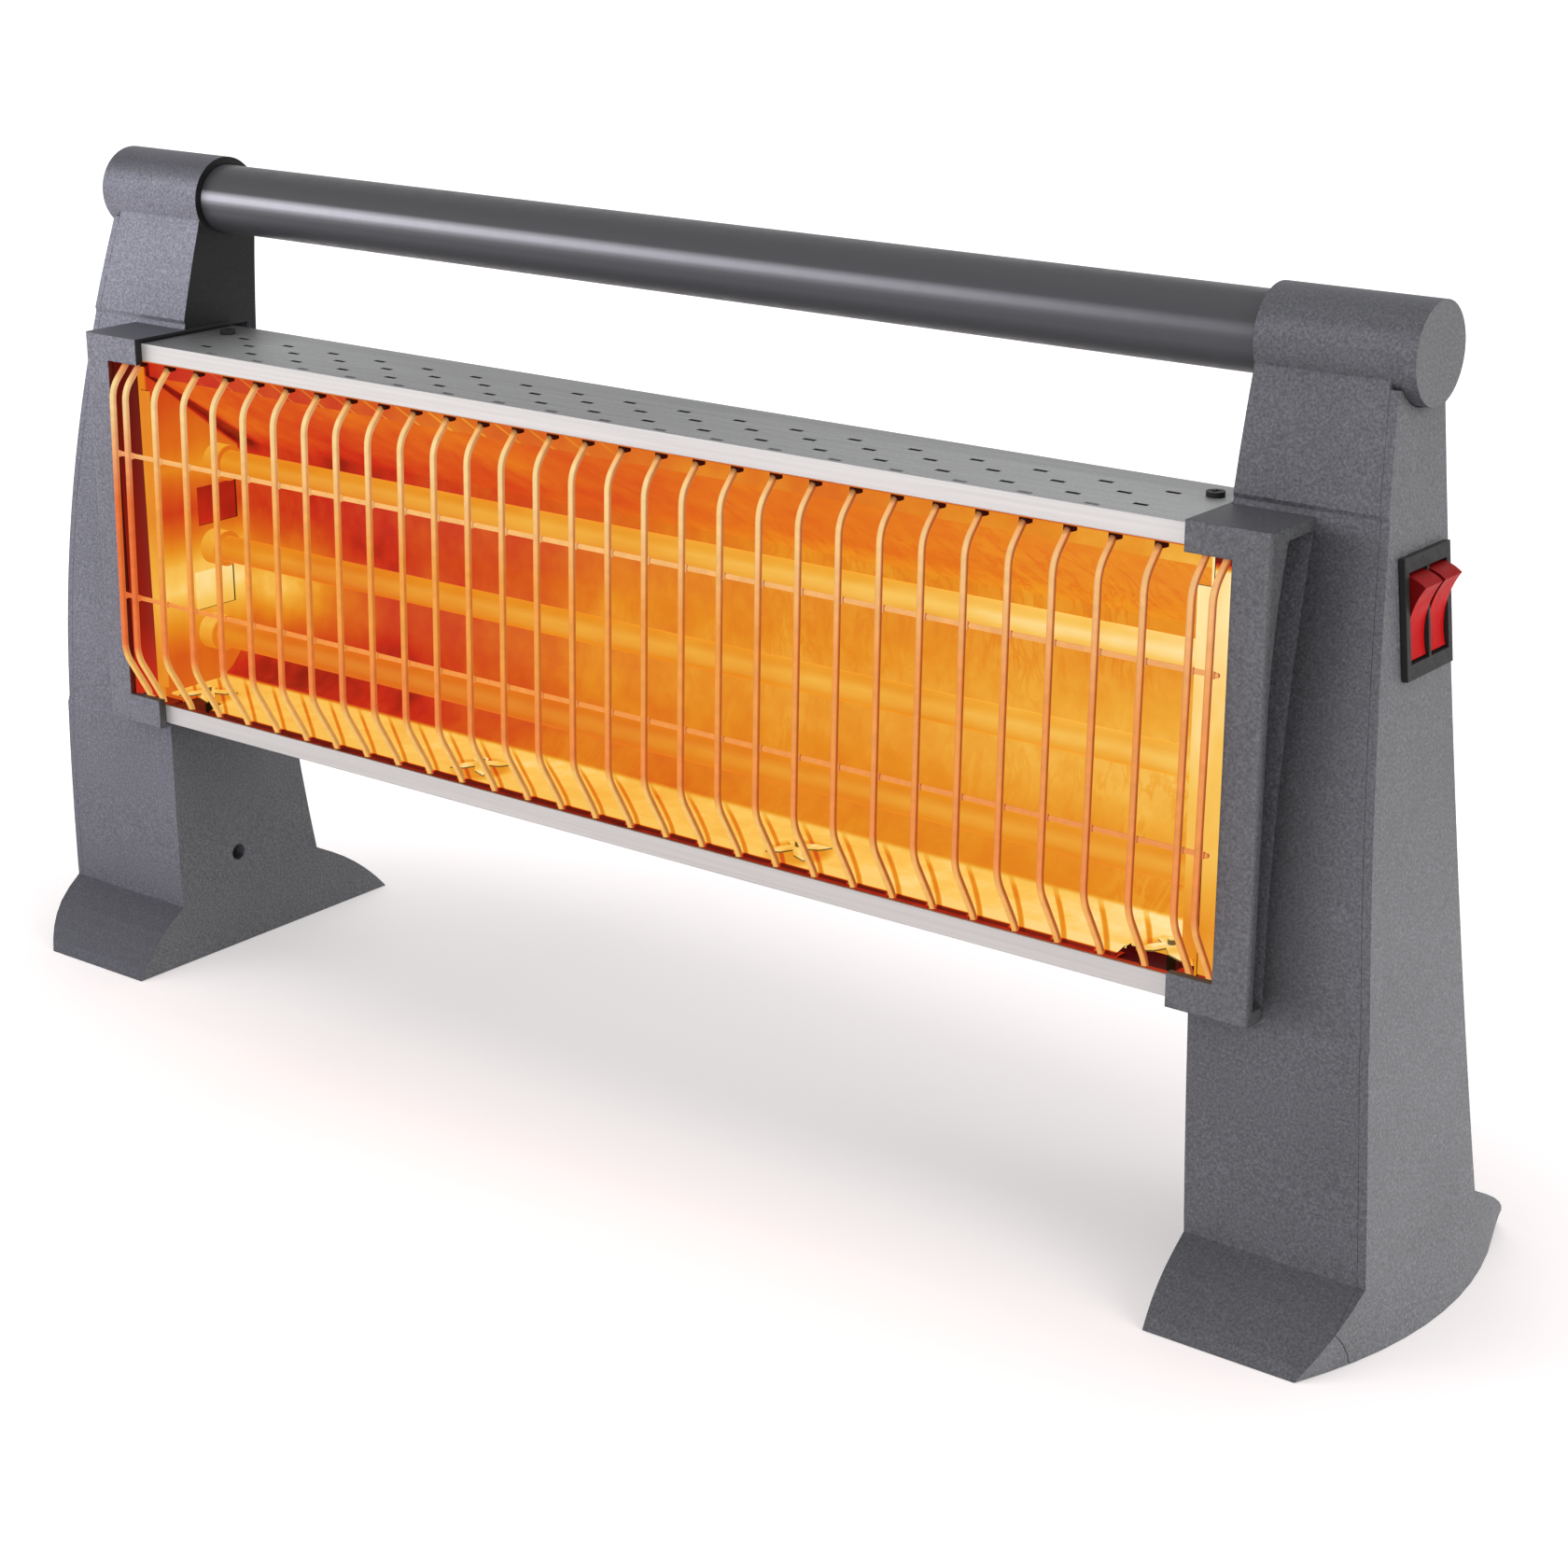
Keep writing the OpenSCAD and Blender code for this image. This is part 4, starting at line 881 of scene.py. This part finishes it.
def star(x, y, low):
    """A push-on clip: four pointed arms that droop from a small dome round its pin."""
    points = 16
    shares = (0.25, 0.6, 1.0)       # of the way from the middle to the tips
    reach = CLIP_WAIST + CLIP_ARM
    verts, faces = [], []
    for top in (low + CLIP_HIGH, low + CLIP_HIGH - SHEET):
        verts.append((x, y, top))
        for share in shares:
            for c, s in circle(points):
                arm = abs(2 * s * c) ** 2.2
                r = (CLIP_WAIST + CLIP_ARM * arm) * share
                verts.append((x + r * c, y + r * s, top - CLIP_DROOP * (r / reach) ** 0.8))
    half, rim = 1 + 3 * points, 1 + 2 * points      # where the underside and a side's rim start
    for k in range(points):
        j = (k + 1) % points
        faces.append((0, 1 + k, 1 + j))
        faces.append((half, half + 1 + j, half + 1 + k))
        for a in (1, 1 + points):
            b = a + points
            faces.append((a + k, b + k, b + j, a + j))
            faces.append((half + a + k, half + a + j, half + b + j, half + b + k))
        faces.append((rim + k, half + rim + k, half + rim + j, rim + j))
    return verts, faces


# ---------------------------------------------------------------- pieces
def guard():
    """The bent uprights, the two long wires behind them and a weld at each crossing."""
    path = [(HOOK_Y, WIRE_LOW - HOOK), (FLANGE_Y, WIRE_LOW + HOOK), LOW_BEND, HIGH_BEND,
            (FLANGE_Y, WIRE_HIGH - HOOK), (HOOK_Y, WIRE_HIGH + HOOK)]
    parts = [sweep(rounded([Vector((x, y, z)) for y, z in path], BEND_R), WIRE_R) for x in WIRES]
    slope = (HIGH_BEND[0] - LOW_BEND[0]) / (HIGH_BEND[1] - LOW_BEND[1])
    for z in LONG_WIRES_Z:
        y = LOW_BEND[0] + slope * (z - LOW_BEND[1]) + LONG_WIRE_BACK
        ends = [Vector((-LONG_WIRE_X, y, z)), Vector((LONG_WIRE_X, y, z))]
        parts.append(sweep(ends, LONG_WIRE_R, ends=0.6))
        for x in WIRES:
            weld = [Vector((x + d, y - WELD_FORWARD, z)) for d in (-WELD_X, WELD_X)]
            parts.append(sweep(weld, WELD_R, sides=8, ends=0.5))
    o = mesh_object("guard_wires", *joined(parts), WIRE)
    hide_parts("guard_grille")


def trims():
    """The reflector's turned edges, the strips beside its end walls, with a return that reaches
    forward to the bezels, and the dark rims of the upper rail's holes."""
    upper = plate((-UPPER_EDGE_X, UPPER_EDGE_X), UPPER_EDGE_Y, UPPER_EDGE_Z)
    mesh_object("reflector_upper_edge", *upper, RETURN, smooth=False)

    front, back = LOWER_EDGE_Y
    verts, faces = plate((-LOWER_EDGE_X, LOWER_EDGE_X), (front, back),
                         (FLOOR_TOP - SHEET, FLOOR_TOP))
    verts = [(x, y, z - LOWER_EDGE_DROP if y == front else z) for x, y, z in verts]
    lower = mesh_object("reflector_lower_edge", verts, faces, EDGE, smooth=False)

    near, far = STRIP_X
    for s, name in ((-1, "left_side_strip"), (1, "right_side_strip")):
        side = [plate(sorted((s * near, s * far)), (FLANGE_Y, FLANGE_Y + SHEET), STRIP_Z),
                plate(sorted((s * (far - SHEET), s * far)), (STRIP_FRONT_Y, FLANGE_Y), STRIP_Z)]
        mesh_object(name, *joined(side), STRIP, smooth=False)

    collars = joined([ring(x, COLLAR_Y, *COLLAR_Z, *COLLAR_R) for x in WIRES])
    mesh_object("rail_hole_collars", *collars, COLLAR)


def clips():
    """A star-shaped clip on each of the pins that come up through the reflector's floor."""
    parts = []
    for x in CLIPS_X:
        parts.append(star(x, CLIP_Y, FLOOR_TOP))
        parts.append(sweep([Vector((x, CLIP_Y, z)) for z in PIN_Z], PIN_R, sides=12, ends=0.5))
    o = mesh_object("reflector_star_clips", *joined(parts), CLIP)
    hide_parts("reflector_clips")


guard()
trims()
clips()


# ---------------------------------------------------------------- floor, world and lamps
def floor():
    """A pale ground, lifted towards white away from the heater. Its own light is painted weaker
    near the heater, which leaves painted shade there, and a little stronger beside the left stand;
    the cloth's pink is the heater's warm light, painted into that shade.
    """
    corners = [(-1, -1), (1, -1), (1, 1), (-1, 1)]
    data = bpy.data.meshes.new("floor")
    data.from_pydata([(GROUND_SIZE * x, GROUND_SIZE * y, GROUND_Z) for x, y in corners],
                     [], [(0, 1, 2, 3)])
    o = bpy.data.objects.new("floor", data)
    scene.collection.objects.link(o)
    m = Mat("floor_white")
    x, y, z = m.xyz()
    beyond = m.largest(m.sub(m.abs(x), SHADOW_X), 0.0)
    away = m.node("ShaderNodeCombineXYZ", beyond, y, 0.0).outputs[0]
    away = m.node("ShaderNodeVectorMath", away, operation="LENGTH").outputs["Value"]
    lift = m.curve(away, 0.0, 0.5, (0.0, 0.27), (0.08, 0.28), (0.17, 0.42), (0.32, 0.62))
    # painted light beside the left stand, which thins the shade by its foot
    lift = m.add(lift, m.mul(m.span(x, -0.12, -0.26), 0.08))
    rays = m.node("ShaderNodeLightPath").outputs
    seen = m.largest(rays["Is Camera Ray"], rays["Is Glossy Ray"], rays["Is Transmission Ray"])
    bounce = m.node("ShaderNodeBsdfDiffuse", (0.70, 0.70, 0.70))
    # the pink stands for the heater's warm light in the shade, painted into the cloth
    cloth = m.node("ShaderNodeBsdfDiffuse", (0.80, 0.74, 0.74))
    glow = m.node("ShaderNodeEmission", (1.0, 1.0, 1.0), lift)
    both = m.node("ShaderNodeAddShader", cloth.outputs[0], glow.outputs[0])
    choose = m.node("ShaderNodeMixShader", seen, bounce.outputs[0], both.outputs[0])
    m.t.nodes.remove(m.p)
    m.t.links.new(choose.outputs[0], m.out.inputs[0])
    data.materials.append(m.m)


def world():
    """White where the camera or a reflection sees it, and a softer light for everything else."""
    w = bpy.data.worlds.new("studio")
    scene.world = w
    w.use_nodes = True
    t = w.node_tree
    t.nodes.clear()
    rays = t.nodes.new("ShaderNodeLightPath").outputs
    seen = rays["Is Camera Ray"]
    for kind in ("Is Transmission Ray", "Is Glossy Ray"):
        largest = t.nodes.new("ShaderNodeMath")
        largest.operation = "MAXIMUM"
        t.links.new(seen, largest.inputs[0])
        t.links.new(rays[kind], largest.inputs[1])
        seen = largest.outputs[0]
    mix = t.nodes.new("ShaderNodeMixShader")
    t.links.new(seen, mix.inputs[0])
    for i, strength in ((1, SOFT_LIGHT), (2, 1.0)):
        light = t.nodes.new("ShaderNodeBackground")
        light.inputs["Color"].default_value = (1, 1, 1, 1)
        light.inputs["Strength"].default_value = strength
        t.links.new(light.outputs[0], mix.inputs[i])
    out = t.nodes.new("ShaderNodeOutputWorld")
    t.links.new(mix.outputs[0], out.inputs[0])


def lamp(name, where, target, power, width, height):
    data = bpy.data.lights.new(name, "AREA")
    data.shape, data.size, data.size_y, data.energy = "RECTANGLE", width, height, power
    aimed(bpy.data.objects.new(name, data), where, Vector(target) - Vector(where))


floor()
world()
lamp("key_right", (2.1, -0.2, 1.1), (0.1, 0, 0.15), power=16, width=1.3, height=1.3)
lamp("top_soft", (0.0, -0.4, 2.2), (0, 0, 0.1), power=12, width=2.2, height=1.4)
lamp("fill_left", (-1.7, -1.3, 1.0), (0, 0, 0.15), power=6, width=1.4, height=1.4)
